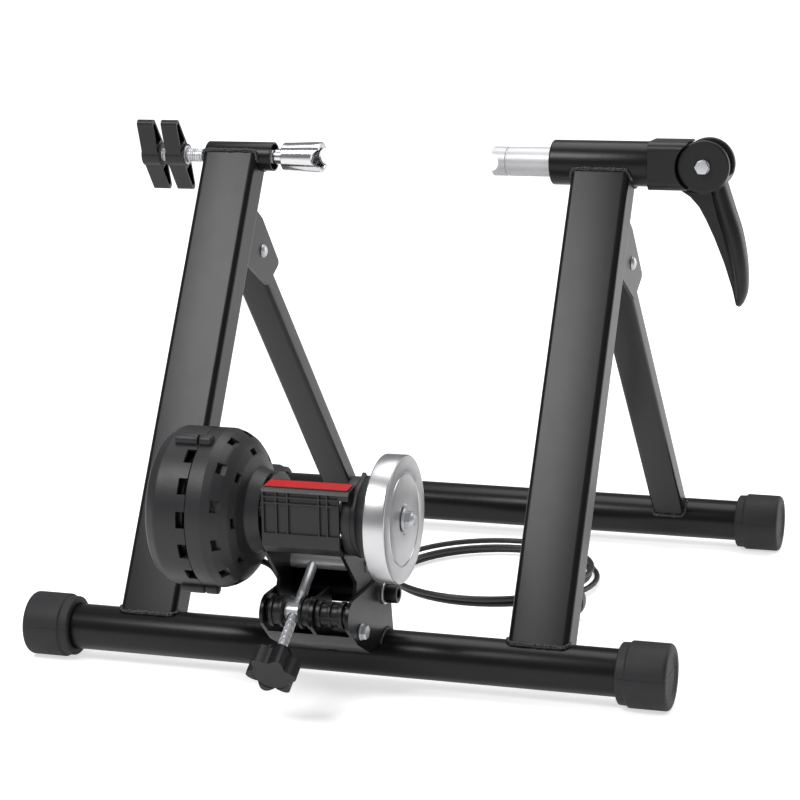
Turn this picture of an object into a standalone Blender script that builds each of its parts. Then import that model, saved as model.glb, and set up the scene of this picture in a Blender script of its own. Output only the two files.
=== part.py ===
"""Folding magnetic indoor trainer for a bicycle.

Metres, +Z up. X runs along the two base tubes, and +Y from the resistance unit to the
rear feet. Sizes are measured from the front base tube's centre line (y = 0), the plane
midway between the feet (x = 0) and the floor (z = 0). The last step moves the root so
that the origin is the bottom centre of the object's box.
"""

import math

import bmesh
import bpy
from mathutils import Matrix, Vector

for old in list(bpy.data.objects):
    bpy.data.objects.remove(old)

# Clearances
FIT = 0.0003
SLIDE_FIT = 0.0004
STEEL_WALL = 0.0015
SHELL_WALL = 0.0025

# Base tubes and feet
TUBE_R = 0.019
BASE_Z = 0.026
REAR_Y = 0.480
FOOT_R = 0.0265
FOOT_LENGTH = 0.041
FOOT_OUT = 0.275
FOOT_WALL = 0.003
FOOT_LIP = 0.0025
TUBE_END = FOOT_OUT - FOOT_WALL - 0.001 - FIT

# Uprights, from the front tube's centre line to the wheel axle line
POST_X = 0.168
POST_WIDTH = 0.050
POST_DEPTH = 0.030
POST_CORNER = 0.005
AXLE_Y = 0.216
AXLE_Z = 0.400

# Fold hinges, measured along and behind each upright
HINGE_X = 0.169
HINGE_HALF = 0.019
HINGE_SHEET = 0.003
HINGE_ALONG = 0.364
HINGE_BEHIND = 0.055
HINGE_PIN_R = 0.004
LEG_WIDTH = 0.030
LEG_DEPTH = 0.020
LEG_BEYOND_PIN = 0.013

# Wheel axle clamps
CLAMP_R = 0.0127
SCREW_R = 0.006
CUP_R = 0.0125
CUP_RIM_R = 0.0135
CUP_BORE_R = 0.0095
CUP_DEPTH = 0.020
WING_REACH = 0.0365
WING_THICK = 0.015
WING_HUB_R = 0.010
WING_TIP_R = 0.0038
WING_TILT = 28
CAM_TUBE_R = 0.019
CAM_X = 0.254
CAM_DISC_R = 0.022
CAM_RISE = 0.0105
CAM_TURN = 95

# Resistance unit
SPIN_Y = -0.060
SPIN_Z = 0.155
PIVOT_Y = -0.002
PIVOT_Z = 0.077
AXLE_R = 0.006
ROLLER_R = 0.015
WHEEL_R = 0.050
COVER_R = 0.065
BOSS_ANGLES = (113, 249, 0)

# Tension screw
BAR_Y = -0.028
BAR_Z = 0.107
BAR_R = 0.0062
NUT_Y = -0.073
NUT_Z = 0.078
SPINDLE_X = -0.009
SPINDLE_R = 0.004
KNOB_R = 0.0215
KNOB_LENGTH = 0.026
KNOB_FROM_NUT = 0.040

# Resistance cable and its shifter
CABLE_R = 0.0025
CABLE_EXIT = Vector((-0.050, -0.045, 0.110))
CABLE_HEADING = Vector((0.35, 0.75, -0.56)).normalized()
COIL_X = 0.040
COIL_Y = 0.300
COIL_R = 0.092
COIL_TURNS = 2.5
COIL_LAYER = 0.0056
COIL_START_Z = 0.0028
SHIFTER_X = 0.119
SHIFTER_Y = 0.208
BAND_R = 0.0162

X = Vector((1, 0, 0))
Y = Vector((0, 1, 0))
Z = Vector((0, 0, 1))

parts = bpy.data.collections.new("trainer")
cutters = bpy.data.collections.new("trainer_cutters")
bpy.context.scene.collection.children.link(parts)
bpy.context.scene.collection.children.link(cutters)
trainer = bpy.data.objects.new("trainer", None)
parts.objects.link(trainer)


def carrier(name, position):
    """An empty on a joint's axis, which carries the pieces that move with it."""
    empty = bpy.data.objects.new(name, None)
    parts.objects.link(empty)
    empty.parent = trainer
    empty.location = position
    return empty


def material(name, colour, metallic, roughness):
    made = bpy.data.materials.new(name)
    made.use_nodes = True
    shader = made.node_tree.nodes["Principled BSDF"]
    shader.inputs["Base Color"].default_value = (*colour, 1)
    shader.inputs["Metallic"].default_value = metallic
    shader.inputs["Roughness"].default_value = roughness
    return made


PAINT = material("black_paint", (0.012, 0.012, 0.013), 0, 0.3)
RUBBER = material("foot_rubber", (0.02, 0.02, 0.022), 0, 0.7)
PLASTIC = material("black_plastic", (0.015, 0.015, 0.016), 0, 0.45)
COVER = material("grey_plastic", (0.035, 0.035, 0.038), 0, 0.5)
RED = material("red_plastic", (0.75, 0.02, 0.02), 0, 0.4)
ZINC = material("zinc_steel", (0.62, 0.62, 0.64), 1, 0.35)
POLISHED = material("polished_steel", (0.78, 0.78, 0.79), 1, 0.12)
ALUMINIUM = material("cast_aluminium", (0.68, 0.68, 0.7), 1, 0.4)
MAGNET = material("magnet_grey", (0.12, 0.12, 0.13), 1, 0.5)
JACKET = material("cable_jacket", (0.014, 0.014, 0.015), 0, 0.5)
TREAD = material("roller_steel", (0.35, 0.35, 0.36), 1, 0.4)


def add(name, mesh, matrix, finish=None, on=None):
    """A part on its carrier, or a hidden cutter when it has no finish."""
    obj = bpy.data.objects.new(name, mesh)
    if finish:
        parts.objects.link(obj)
        mesh.materials.append(finish)
    else:
        cutters.objects.link(obj)
        obj.hide_render = True
        obj.display_type = "WIRE"
    obj.parent = on or trainer
    obj.matrix_parent_inverse = Matrix.Translation(-obj.parent.location)
    obj.matrix_basis = matrix
    return obj


def facing(origin, along, side=None):
    """A matrix whose Z is one direction and whose X is as near as it can be to another."""
    z = Vector(along).normalized()
    hint = side or (Y if abs(z.x) > 0.9 else X)
    x = (hint - hint.dot(z) * z).normalized()
    turn = Matrix((x, z.cross(x), z)).transposed().to_4x4()
    return Matrix.Translation(origin) @ turn


def across(middle):
    """Local X, Y, Z become the world's Y, Z, X, for an outline drawn in side view."""
    return Matrix(((0, 0, 1, middle), (1, 0, 0, 0), (0, 1, 0, 0), (0, 0, 0, 1)))


def upfront(middle):
    """Local X, Y, Z become the world's X, Z, -Y, for an outline drawn in front view."""
    return Matrix(((1, 0, 0, 0), (0, 0, -1, middle), (0, 1, 0, 0), (0, 0, 0, 1)))


def arc(centre, radius, start, end, steps):
    """Points along an arc, in degrees."""
    turns = [math.radians(start + (end - start) * i / steps) for i in range(steps + 1)]
    u, v = centre
    return [(u + radius * math.cos(t), v + radius * math.sin(t)) for t in turns]


def round_box(width, depth, corner, steps=3):
    """Outline of a rectangle with rounded corners, about the origin."""
    a = width / 2 - corner
    b = depth / 2 - corner
    outline = []
    for k, (u, v) in enumerate(((a, b), (-a, b), (-a, -b), (a, -b))):
        outline += arc((u, v), corner, 90 * k, 90 * k + 90, steps)
    return outline


def smooth(mesh):
    mesh.shade_smooth()
    mesh.set_sharp_from_angle(angle=math.radians(35))
    return mesh


def cylinder(name, start, end, radius, finish=None, on=None, sides=32, end_radius=None):
    start, end = Vector(start), Vector(end)
    shape = bmesh.new()
    bmesh.ops.create_cone(
        shape,
        cap_ends=True,
        segments=sides,
        radius1=radius,
        radius2=radius if end_radius is None else end_radius,
        depth=(end - start).length,
    )
    mesh = bpy.data.meshes.new(name)
    shape.to_mesh(mesh)
    shape.free()
    return add(name, smooth(mesh), facing((start + end) / 2, end - start), finish, on)


def box(name, low, high, finish=None, on=None):
    low, high = Vector(low), Vector(high)
    shape = bmesh.new()
    bmesh.ops.create_cube(shape, size=1)
    bmesh.ops.scale(shape, vec=high - low, verts=shape.verts)
    mesh = bpy.data.meshes.new(name)
    shape.to_mesh(mesh)
    shape.free()
    return add(name, mesh, Matrix.Translation((low + high) / 2), finish, on)


def turned(name, profile, start, along, finish=None, on=None, sides=32):
    """A closed profile of (radius, height) turned about an axis from a start point."""
    ring = profile[1:] + profile[:1]
    turn = sum(a[0] * b[1] - b[0] * a[1] for a, b in zip(profile, ring))
    points = profile if turn < 0 else profile[::-1]
    last = len(points) - 1
    edges = [(i, i + 1) for i in range(last)]
    if profile[0][0] > 0:
        edges.append((last, 0))
    mesh = bpy.data.meshes.new(name)
    mesh.from_pydata([(r, 0, h) for r, h in points], edges, [])
    obj = add(name, mesh, facing(start, along), finish, on)
    screw = obj.modifiers.new("turn", "SCREW")
    screw.steps = sides
    screw.render_steps = sides
    screw.use_merge_vertices = True
    screw.merge_threshold = 0.00001
    return obj


def ring_profile(outer, inner, low, high):
    return [(outer, low), (outer, high), (inner, high), (inner, low)]


def plate(name, outline, matrix, thickness, finish=None, on=None, holes=()):
    """A flat outline, with any holes, made half its thickness to each side."""
    curve = bpy.data.curves.new(name, "CURVE")
    curve.dimensions = "2D"
    curve.fill_mode = "BOTH"
    curve.extrude = thickness / 2
    for loop in (outline, *holes):
        spline = curve.splines.new("POLY")
        spline.points.add(len(loop) - 1)
        for point, (u, v) in zip(spline.points, loop):
            point.co = (u, v, 0, 1)
        spline.use_cyclic_u = True
    return add(name, as_mesh(curve), matrix, finish, on)


def as_mesh(curve):
    """A curve's mesh, with its loose caps welded to its sides."""
    guide = bpy.data.objects.new("guide", curve)
    bpy.context.scene.collection.objects.link(guide)
    bpy.context.view_layer.update()
    evaluated = guide.evaluated_get(bpy.context.evaluated_depsgraph_get())
    mesh = bpy.data.meshes.new_from_object(evaluated)
    bpy.data.objects.remove(guide)
    bpy.data.curves.remove(curve)
    mesh.materials.clear()
    shape = bmesh.new()
    shape.from_mesh(mesh)
    bmesh.ops.remove_doubles(shape, verts=shape.verts, dist=0.000002)
    bmesh.ops.recalc_face_normals(shape, faces=shape.faces)
    shape.to_mesh(mesh)
    shape.free()
    return smooth(mesh)


def side_plate(name, outline, low, high, finish=None, on=None, holes=()):
    """A plate whose outline is (y, z) and whose thickness runs from x = low to high."""
    return plate(name, outline, across((low + high) / 2), high - low, finish, on, holes)


def front_plate(name, outline, low, high, finish=None, on=None, holes=()):
    """A plate whose outline is (x, z) and whose thickness runs from y = low to high."""
    return plate(name, outline, upfront((low + high) / 2), high - low, finish, on, holes)


def tube_on_path(name, points, radius, resolution, finish, on=None):
    """A wire on a path with a straight span between each two points."""
    curve = bpy.data.curves.new(name, "CURVE")
    curve.dimensions = "3D"
    curve.bevel_depth = radius
    curve.bevel_resolution = resolution
    curve.use_fill_caps = True
    spline = curve.splines.new("POLY")
    spline.points.add(len(points) - 1)
    for target, point in zip(spline.points, points):
        target.co = (*point, 1)
    return add(name, curve, Matrix.Identity(4), finish, on)


def loft(name, rings, finish=None, on=None):
    """A closed body through rings of as many points each."""
    shape = bmesh.new()
    rows = [[shape.verts.new(point) for point in ring] for ring in rings]
    count = len(rows[0])
    for near, far in zip(rows, rows[1:]):
        for i in range(count):
            j = (i + 1) % count
            shape.faces.new((near[i], near[j], far[j], far[i]))
    shape.faces.new(rows[0][::-1])
    shape.faces.new(rows[-1])
    bmesh.ops.recalc_face_normals(shape, faces=shape.faces)
    mesh = bpy.data.meshes.new(name)
    shape.to_mesh(mesh)
    shape.free()
    return add(name, smooth(mesh), Matrix.Identity(4), finish, on)


def combine(target, other, operation="DIFFERENCE"):
    change = target.modifiers.new(other.name, "BOOLEAN")
    change.operation = operation
    change.object = other
    return target


def cut(target, *others):
    for other in others:
        combine(target, other)
    return target


def join(target, *others):
    for other in others:
        combine(target, other, "UNION")
    return target


def soften(target, width, segments=1, angle=40):
    edge = target.modifiers.new("edge", "BEVEL")
    edge.width = width
    edge.segments = segments
    edge.limit_method = "ANGLE"
    edge.angle_limit = math.radians(angle)
    return target


def merged(name, sources):
    """One cutter from several pieces that don't touch."""
    shape = bmesh.new()
    for source in sources:
        mesh = source.data.copy()
        mesh.transform(source.matrix_basis)
        shape.from_mesh(mesh)
        bpy.data.meshes.remove(mesh)
        bpy.data.objects.remove(source)
    mesh = bpy.data.meshes.new(name)
    shape.to_mesh(mesh)
    shape.free()
    return add(name, mesh, Matrix.Identity(4))


# Carriers on the joint axes
post_along = Vector((0, AXLE_Y, AXLE_Z - BASE_Z)).normalized()
post_back = Vector((0, post_along.z, -post_along.y))
post_length = math.hypot(AXLE_Y, AXLE_Z - BASE_Z)


def on_post(along, behind):
    """(y, z) of a point given along an upright and behind its centre line."""
    point = Vector((0, 0, BASE_Z)) + along * post_along + behind * post_back
    return point.y, point.z


hinge_y, hinge_z = on_post(HINGE_ALONG, HINGE_BEHIND)
spindle_axis = Vector((0, BAR_Y - NUT_Y, BAR_Z - NUT_Z)).normalized()
bar_centre = Vector((SPINDLE_X, BAR_Y, BAR_Z))
nut_centre = Vector((SPINDLE_X, NUT_Y, NUT_Z))
spin_centre = Vector((0, SPIN_Y, SPIN_Z))

rear_frame = carrier("rear_frame_carrier", (0, hinge_y, hinge_z))
left_clamp = carrier("left_cup_carrier", (-0.104, AXLE_Y, AXLE_Z))
left_screw = carrier("left_screw_carrier", (-0.19, AXLE_Y, AXLE_Z))
lock_nut = carrier("lock_nut_carrier", (-0.2235, AXLE_Y, AXLE_Z))
right_slide = carrier("right_sleeve_carrier", (0.11, AXLE_Y, AXLE_Z))
lever = carrier("cam_lever_carrier", (CAM_X, AXLE_Y, AXLE_Z))
unit = carrier("unit_carrier", (0, PIVOT_Y, PIVOT_Z))
bar = carrier("t_bar_carrier", bar_centre)
spindle = carrier("tension_screw_carrier", bar_centre)
spinner = carrier("roller_carrier", spin_centre)
magnets = carrier("magnet_plate_carrier", spin_centre + Vector((-0.1, 0, 0)))
thumb = carrier("shifter_lever_carrier", (SHIFTER_X, SHIFTER_Y, BAND_R + FIT))

# Base tubes
for name, y, holder in (
    ("front_base_tube", 0, None),
    ("rear_base_tube", REAR_Y, rear_frame),
):
    wall = ring_profile(TUBE_R, TUBE_R - STEEL_WALL, 0, 2 * TUBE_END)
    turned(name, wall, (-TUBE_END, y, BASE_Z), X, PAINT, holder, 28)

# Rubber feet: pushed on the tube ends, with a flat sole and a rounded mouth
under_floor = box("under_floor", (-0.4, -0.1, -0.05), (0.4, 0.6, 0))
FOOT_PROFILE = [
    (0, FOOT_LENGTH - 0.001),
    (0.017, FOOT_LENGTH - 0.001),
    (0.018, FOOT_LENGTH),
    (FOOT_R - 0.004, FOOT_LENGTH),
    (FOOT_R, FOOT_LENGTH - 0.004),
    (FOOT_R, 0.009),
    (FOOT_R - 0.0015, 0.0075),
    (FOOT_R - 0.0015, 0.006),
    (FOOT_R - FOOT_LIP - 0.001, 0),
    (TUBE_R + FIT, 0),
    (TUBE_R + FIT, FOOT_LENGTH - 0.001 - FOOT_WALL),
    (0, FOOT_LENGTH - 0.001 - FOOT_WALL),
]
for row, y, holder in (("front", 0, None), ("rear", REAR_Y, rear_frame)):
    for side, sign in (("left", -1), ("right", 1)):
        mouth = (sign * (FOOT_OUT - FOOT_LENGTH), y, BASE_Z)
        name = f"{row}_{side}_foot"
        foot = turned(name, FOOT_PROFILE, mouth, sign * X, RUBBER, holder, 18)
        cut(foot, under_floor)

# Saddle cutters round the tubes, and the clamp tubes' seats
front_saddle = cylinder(
    "front_saddle", (-0.26, 0, BASE_Z), (0.26, 0, BASE_Z), TUBE_R + FIT, sides=28
)
rear_saddle = cylinder(
    "rear_saddle", (-0.26, REAR_Y, BASE_Z), (0.26, REAR_Y, BASE_Z), TUBE_R + FIT, sides=28
)
left_seat = cylinder(
    "left_seat", (-0.21, AXLE_Y, AXLE_Z), (-0.12, AXLE_Y, AXLE_Z), CLAMP_R + FIT, sides=24
)
right_seat = cylinder(
    "right_seat", (0.12, AXLE_Y, AXLE_Z), (0.22, AXLE_Y, AXLE_Z), CAM_TUBE_R + FIT, sides=24
)

# Uprights
post_outer = round_box(POST_WIDTH, POST_DEPTH, POST_CORNER, 2)
post_inner = round_box(
    POST_WIDTH - 2 * STEEL_WALL, POST_DEPTH - 2 * STEEL_WALL, POST_CORNER - STEEL_WALL, 2
)
for side, sign, seat in (("left", -1, left_seat), ("right", 1, right_seat)):
    foot_end = Vector((sign * POST_X, 0, BASE_Z))
    middle = foot_end + post_along * post_length / 2
    upright = plate(
        f"{side}_upright",
        post_outer,
        facing(middle, post_along, X),
        post_length,
        PAINT,
        holes=[post_inner],
    )
    cut(upright, front_saddle, seat)

# Fold hinges: a folded sheet bracket behind each upright, and the leg's cross pin
bracket_outer = [
    on_post(s, d)
    for s, d in ((0.340, 0.0153), (0.340, 0.079), (0.369, 0.097), (0.390, 0.041), (0.392, 0.0153))
]
bracket_inner = [
    on_post(s, d)
    for s, d in (
        (0.330, 0.0178),
        (0.330, 0.130),
        (0.3476, 0.134),
        (0.3688, 0.0726),
        (0.3969, 0.0822),
        (0.420, 0.0178),
    )
]
leg_run = Vector((0, REAR_Y - hinge_y, BASE_Z - hinge_z))
leg_along = leg_run.normalized()
leg_outer = round_box(LEG_WIDTH, LEG_DEPTH, 0.004, 2)
leg_inner = round_box(LEG_WIDTH - 2 * STEEL_WALL, LEG_DEPTH - 2 * STEEL_WALL, 0.0025, 2)
PIN_HEAD_R = 0.0062
PIN_HEAD = 0.0032
pin_span = 2 * HINGE_HALF + 2 * FIT
PIN_PROFILE = [
    (0, -PIN_HEAD),
    (PIN_HEAD_R * 0.6, -PIN_HEAD * 0.8),
    (PIN_HEAD_R, -PIN_HEAD * 0.25),
    (PIN_HEAD_R, 0),
    (HINGE_PIN_R, 0),
    (HINGE_PIN_R, pin_span),
    (PIN_HEAD_R, pin_span),
    (PIN_HEAD_R, pin_span + PIN_HEAD * 0.25),
    (PIN_HEAD_R * 0.6, pin_span + PIN_HEAD * 0.8),
    (0, pin_span + PIN_HEAD),
]
hinge_bore = cylinder(
    "hinge_bore", (-0.2, hinge_y, hinge_z), (0.2, hinge_y, hinge_z), HINGE_PIN_R + FIT, sides=16
)
for side, sign in (("left", -1), ("right", 1)):
    middle = sign * HINGE_X
    bracket = side_plate(
        f"{side}_hinge_bracket", bracket_outer, middle - HINGE_HALF, middle + HINGE_HALF, PAINT
    )
    reach = HINGE_HALF - HINGE_SHEET
    inside = side_plate(f"{side}_bracket_inside", bracket_inner, middle - reach, middle + reach)
    cut(bracket, inside, hinge_bore)
    low = Vector((middle - HINGE_HALF - FIT, hinge_y, hinge_z))
    turned(f"{side}_hinge_pin", PIN_PROFILE, low, X, ZINC, sides=14)
    top = Vector((middle, hinge_y, hinge_z)) - leg_along * LEG_BEYOND_PIN
    length = leg_run.length + LEG_BEYOND_PIN
    leg = plate(
        f"{side}_rear_leg",
        leg_outer,
        facing(top + leg_along * length / 2, leg_along, X),
        length,
        PAINT,
        rear_frame,
        [leg_inner],
    )
    cut(leg, rear_saddle, hinge_bore)

# Left clamp: a fixed tube, the threaded screw with its cup, and two winged knobs
axle = Vector((0, AXLE_Y, AXLE_Z))
LEFT_TUBE = (-0.193, -0.131)
length = LEFT_TUBE[1] - LEFT_TUBE[0]
turned(
    "left_clamp_tube",
    [
        (CLAMP_R - 0.001, 0),
        (CLAMP_R, 0.001),
        (CLAMP_R, length),
        (CLAMP_R - STEEL_WALL, length),
        (CLAMP_R - STEEL_WALL, 0.016),
        (SCREW_R + SLIDE_FIT, 0.016),
        (SCREW_R + SLIDE_FIT, 0),
    ],
    axle + X * LEFT_TUBE[0],
    X,
    PAINT,
    sides=24,
)
SCREW_LOW = -0.262
SCREW_SHOULDER = -0.1305
SPIGOT_R = 0.004
SPIGOT_LENGTH = 0.018
turned(
    "clamp_screw",
    [
        (0, 0),
        (SCREW_R - 0.001, 0),
        (SCREW_R, 0.001),
        (SCREW_R, SCREW_SHOULDER - SCREW_LOW),
        (SPIGOT_R, SCREW_SHOULDER - SCREW_LOW),
        (SPIGOT_R, SCREW_SHOULDER - SCREW_LOW + SPIGOT_LENGTH),
        (0, SCREW_SHOULDER - SCREW_LOW + SPIGOT_LENGTH),
    ],
    axle + X * SCREW_LOW,
    X,
    ZINC,
    left_screw,
    20,
)
CUP_NECK = -0.1302
CUP_FACE = -0.1215
CUP_END = -0.086
NECK_R = 0.007
cup_length = CUP_END - CUP_NECK
cup = turned(
    "left_axle_cup",
    [
        (0, cup_length - CUP_DEPTH),
        (CUP_BORE_R, cup_length - CUP_DEPTH),
        (CUP_BORE_R, cup_length),
        (CUP_RIM_R - 0.001, cup_length),
        (CUP_RIM_R, cup_length - 0.001),
        (CUP_RIM_R, cup_length - 0.011),
        (CUP_R, cup_length - 0.014),
        (CUP_R, CUP_FACE - CUP_NECK + 0.001),
        (CUP_R - 0.001, CUP_FACE - CUP_NECK),
        (NECK_R, CUP_FACE - CUP_NECK),
        (NECK_R, 0),
        (SPIGOT_R + FIT, 0),
        (SPIGOT_R + FIT, SPIGOT_LENGTH + 0.001),
        (0, SPIGOT_LENGTH + 0.001),
    ],
    axle + X * CUP_NECK,
    X,
    POLISHED,
    left_clamp,
    20,
)


def wing_profile(hub, tip):
    """Outline of a two-winged knob in side view, about its hub, upper wing to the front."""
    reach = WING_REACH - tip
    slope = math.degrees(math.asin((hub - tip) / reach))
    points = []
    for turn in (90, 270):
        centre = (
            reach * math.cos(math.radians(turn)),
            reach * math.sin(math.radians(turn)),
        )
        points += arc(centre, tip, turn - 90 + slope, turn + 90 - slope, 4)
        points += arc((0, 0), hub, turn + 90 - slope, turn + 90 + slope, 2)
    return points


def turn_outline(points, degrees):
    c, s = math.cos(math.radians(degrees)), math.sin(math.radians(degrees))
    return [(AXLE_Y + c * u - s * v, AXLE_Z + s * u + c * v) for u, v in points]


def wing_knob(name, low, holder, hub_left, hub_right, bore_radius):
    """A winged knob: two tapered wings, hollow on the side that faces the frame."""
    high = low + WING_THICK
    outline = turn_outline(wing_profile(WING_HUB_R - 0.001, WING_TIP_R), WING_TILT)
    body = side_plate(name, outline, low, high, PLASTIC, holder)
    left_end = axle + X * (low - hub_left)
    right_end = axle + X * (high + hub_right)
    join(body, cylinder(f"{name}_hub", left_end, right_end, WING_HUB_R, sides=20))
    half = WING_HUB_R - 0.001 - 0.0038
    tip = WING_TIP_R - 0.0018
    start, end = WING_HUB_R + 0.0022, WING_REACH - WING_TIP_R - 0.0005
    pockets = []
    for k, sign in enumerate((1, -1)):
        corners = [(half, start), (tip, end), (-tip, end), (-half, start)]
        outline = turn_outline([(u, sign * v) for u, v in corners], WING_TILT)
        pockets.append(
            side_plate(f"{name}_pocket_{k}", outline, low + 0.003, high + 0.003)
        )
    cut(body, merged(f"{name}_pockets", pockets))
    through = cylinder(f"{name}_bore", left_end - X * 0.01, right_end + X * 0.01, bore_radius, sides=20)
    cut(body, through)


# The outer wing is fixed on the screw; the inner one is a lock nut with a steel insert
OUTER_WING = -0.254
LOCK_WING = -0.231
INSERT_R = 0.0085
wing_knob("adjuster_wing_knob", OUTER_WING, left_screw, 0.004, 0.001, SCREW_R + FIT)
wing_knob("lock_wing_nut", LOCK_WING, lock_nut, 0.001, 0.002, INSERT_R + FIT)
turned(
    "lock_nut_insert",
    ring_profile(INSERT_R, SCREW_R + SLIDE_FIT, 0, WING_THICK + 0.004),
    axle + X * (LOCK_WING - 0.0015),
    X,
    ZINC,
    lock_nut,
    18,
)

# Each cup's open end has a slot across it for the ribs of the wheel's axle nut
NOTCH_R = 0.0075
left_notch = axle + X * (CUP_END + 0.001)
cut(cup, cylinder("left_notch", left_notch - Y * 0.03, left_notch + Y * 0.03, NOTCH_R, sides=20))

# Right clamp: a fixed tube, a spring-loaded sleeve and the cam lever that drives it out
CAM_TUBE = (0.123, 0.208)
SLEEVE_END = 0.071
SLEEVE_FLANGE = (0.146, 0.150)
SLEEVE_FLANGE_R = 0.0172
ROD_R = 0.005
length = CAM_TUBE[1] - CAM_TUBE[0]
turned(
    "right_clamp_tube",
    [
        (CAM_TUBE_R - 0.0015, 0),
        (CAM_TUBE_R, 0.0015),
        (CAM_TUBE_R, length),
        (CAM_TUBE_R - STEEL_WALL, length),
        (CAM_TUBE_R - STEEL_WALL, 0.004),
        (CUP_R + SLIDE_FIT, 0.004),
        (CUP_R + SLIDE_FIT, 0),
    ],
    axle + X * CAM_TUBE[0],
    X,
    PAINT,
    sides=24,
)
ring_at = 0.012
sleeve_length = SLEEVE_FLANGE[1] - SLEEVE_END
sleeve = turned(
    "right_sleeve",
    [
        (0, CUP_DEPTH),
        (CUP_BORE_R, CUP_DEPTH),
        (CUP_BORE_R, 0),
        (CUP_R - 0.001, 0),
        (CUP_R, 0.001),
        (CUP_R, ring_at),
        (CUP_R - 0.0008, ring_at + 0.0005),
        (CUP_R - 0.0008, ring_at + 0.0015),
        (CUP_R, ring_at + 0.002),
        (CUP_R, SLEEVE_FLANGE[0] - SLEEVE_END),
        (SLEEVE_FLANGE_R, SLEEVE_FLANGE[0] - SLEEVE_END),
        (SLEEVE_FLANGE_R, sleeve_length),
        (0, sleeve_length),
    ],
    axle + X * SLEEVE_END,
    X,
    ZINC,
    right_slide,
    20,
)
right_notch = axle + X * (SLEEVE_END - 0.001)
cut(sleeve, cylinder("right_notch", right_notch - Y * 0.03, right_notch + Y * 0.03, NOTCH_R, sides=20))
ROD_TIP = CAM_X - 0.0205 - 0.0007
turned(
    "cam_pushrod",
    [
        (0, 0),
        (ROD_R, 0),
        (ROD_R, ROD_TIP - SLEEVE_FLANGE[1] - FIT - 0.0035),
        (0.0012, ROD_TIP - SLEEVE_FLANGE[1] - FIT),
        (0, ROD_TIP - SLEEVE_FLANGE[1] - FIT),
    ],
    axle + X * (SLEEVE_FLANGE[1] + FIT),
    X,
    ZINC,
    right_slide,
    14,
)
SPRING_R = 0.0150
SPRING_WIRE_R = 0.0008
SPRING_CURLS = 6
SPRING_SPAN = (0.1283, 0.1448)
steps = SPRING_CURLS * 8
spring_path = []
for i in range(steps + 1):
    turn = 2 * math.pi * i / 8
    x = SPRING_SPAN[0] + (SPRING_SPAN[1] - SPRING_SPAN[0]) * i / steps
    spring_path.append(
        axle + Vector((x, SPRING_R * math.cos(turn), SPRING_R * math.sin(turn)))
    )
tube_on_path("cam_return_spring", spring_path, SPRING_WIRE_R, 1, ZINC, right_slide)

# Cam housing: a moulded block on the tube's end, with two cheeks that hold the cam pin
BLOCK_HALF = 0.022
BLOCK_END = 0.241
SPIGOT_OUT = 0.0172
CHEEK_IN, CHEEK_OUT = 0.0033, 0.0085
DISC_IN, DISC_OUT = 0.0090, 0.0150
block_low = CAM_TUBE[1] + FIT
housing_block = front_plate(
    "cam_housing",
    [
        (block_low, AXLE_Z - BLOCK_HALF + 0.004),
        (block_low + 0.004, AXLE_Z - BLOCK_HALF),
        (BLOCK_END, AXLE_Z - BLOCK_HALF),
        (BLOCK_END, AXLE_Z + BLOCK_HALF - 0.006),
        (BLOCK_END - 0.006, AXLE_Z + BLOCK_HALF),
        (block_low + 0.006, AXLE_Z + BLOCK_HALF),
        (block_low, AXLE_Z + BLOCK_HALF - 0.006),
    ],
    AXLE_Y - 0.0205,
    AXLE_Y + 0.0205,
    PLASTIC,
)
soften(housing_block, 0.003, 1, 60)
spigot = cylinder(
    "housing_spigot", axle + X * (CAM_TUBE[1] - 0.014), axle + X * (block_low + 0.006), SPIGOT_OUT, sides=24
)
join(housing_block, spigot)
lever_room = cylinder(
    "lever_room",
    (CAM_X, AXLE_Y - 0.0225, AXLE_Z),
    (CAM_X, AXLE_Y + 0.0225, AXLE_Z),
    CAM_DISC_R + 0.0006,
    sides=28,
)
cut(housing_block, lever_room)
for side, sign in (("front", -1), ("rear", 1)):
    near, far = sorted((AXLE_Y + sign * CHEEK_IN, AXLE_Y + sign * CHEEK_OUT))
    tongue = front_plate(
        f"{side}_tongue",
        arc((CAM_X, AXLE_Z), 0.010, -90, 90, 8)
        + [(0.226, AXLE_Z + 0.010), (0.226, AXLE_Z - 0.010)],
        near,
        far,
    )
    join(housing_block, tongue)
CAM_PIN_R = 0.004
pin_bore = cylinder(
    "pin_bore",
    (CAM_X, AXLE_Y - 0.03, AXLE_Z),
    (CAM_X, AXLE_Y + 0.03, AXLE_Z),
    CAM_PIN_R + FIT,
    sides=24,
)
rod_bore = cylinder(
    "rod_bore", axle + X * (CAM_TUBE[1] - 0.03), axle + X * 0.2446, ROD_R + SLIDE_FIT, sides=24
)
cut(housing_block, pin_bore, rod_bore)


def polar(degrees, radius):
    turn = math.radians(degrees)
    return CAM_X + radius * math.cos(turn), AXLE_Z + radius * math.sin(turn)


# The cam's radius grows evenly over the lever's turn, up to the locked end at 180 degrees
CAM_LOW_R = 0.010
cam_outline = [polar(-100, CAM_LOW_R)]
cam_outline += [polar(a, CAM_DISC_R) for a in range(-100, -19, 10)]
cam_outline += [polar(a, CAM_LOW_R) for a in range(-20, 180 - CAM_TURN, 15)]
for i in range(11):
    share = i / 10
    cam_outline.append(polar(180 - CAM_TURN * (1 - share), CAM_LOW_R + CAM_RISE * share))
cam_outline += [polar(a, CAM_LOW_R + CAM_RISE) for a in (192, 205)]
cam_outline += [polar(a, CAM_LOW_R) for a in (214, 230, 245)]
cam_lever = front_plate("cam_lever", cam_outline, AXLE_Y - 0.003, AXLE_Y + 0.003, PLASTIC, lever)
root_block = front_plate(
    "lever_root",
    [polar(a, CAM_DISC_R) for a in range(-100, -19, 10)]
    + [polar(a, CAM_LOW_R + 0.0006) for a in range(-20, -101, -10)],
    AXLE_Y - DISC_OUT,
    AXLE_Y + DISC_OUT,
)
join(cam_lever, root_block)
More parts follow.
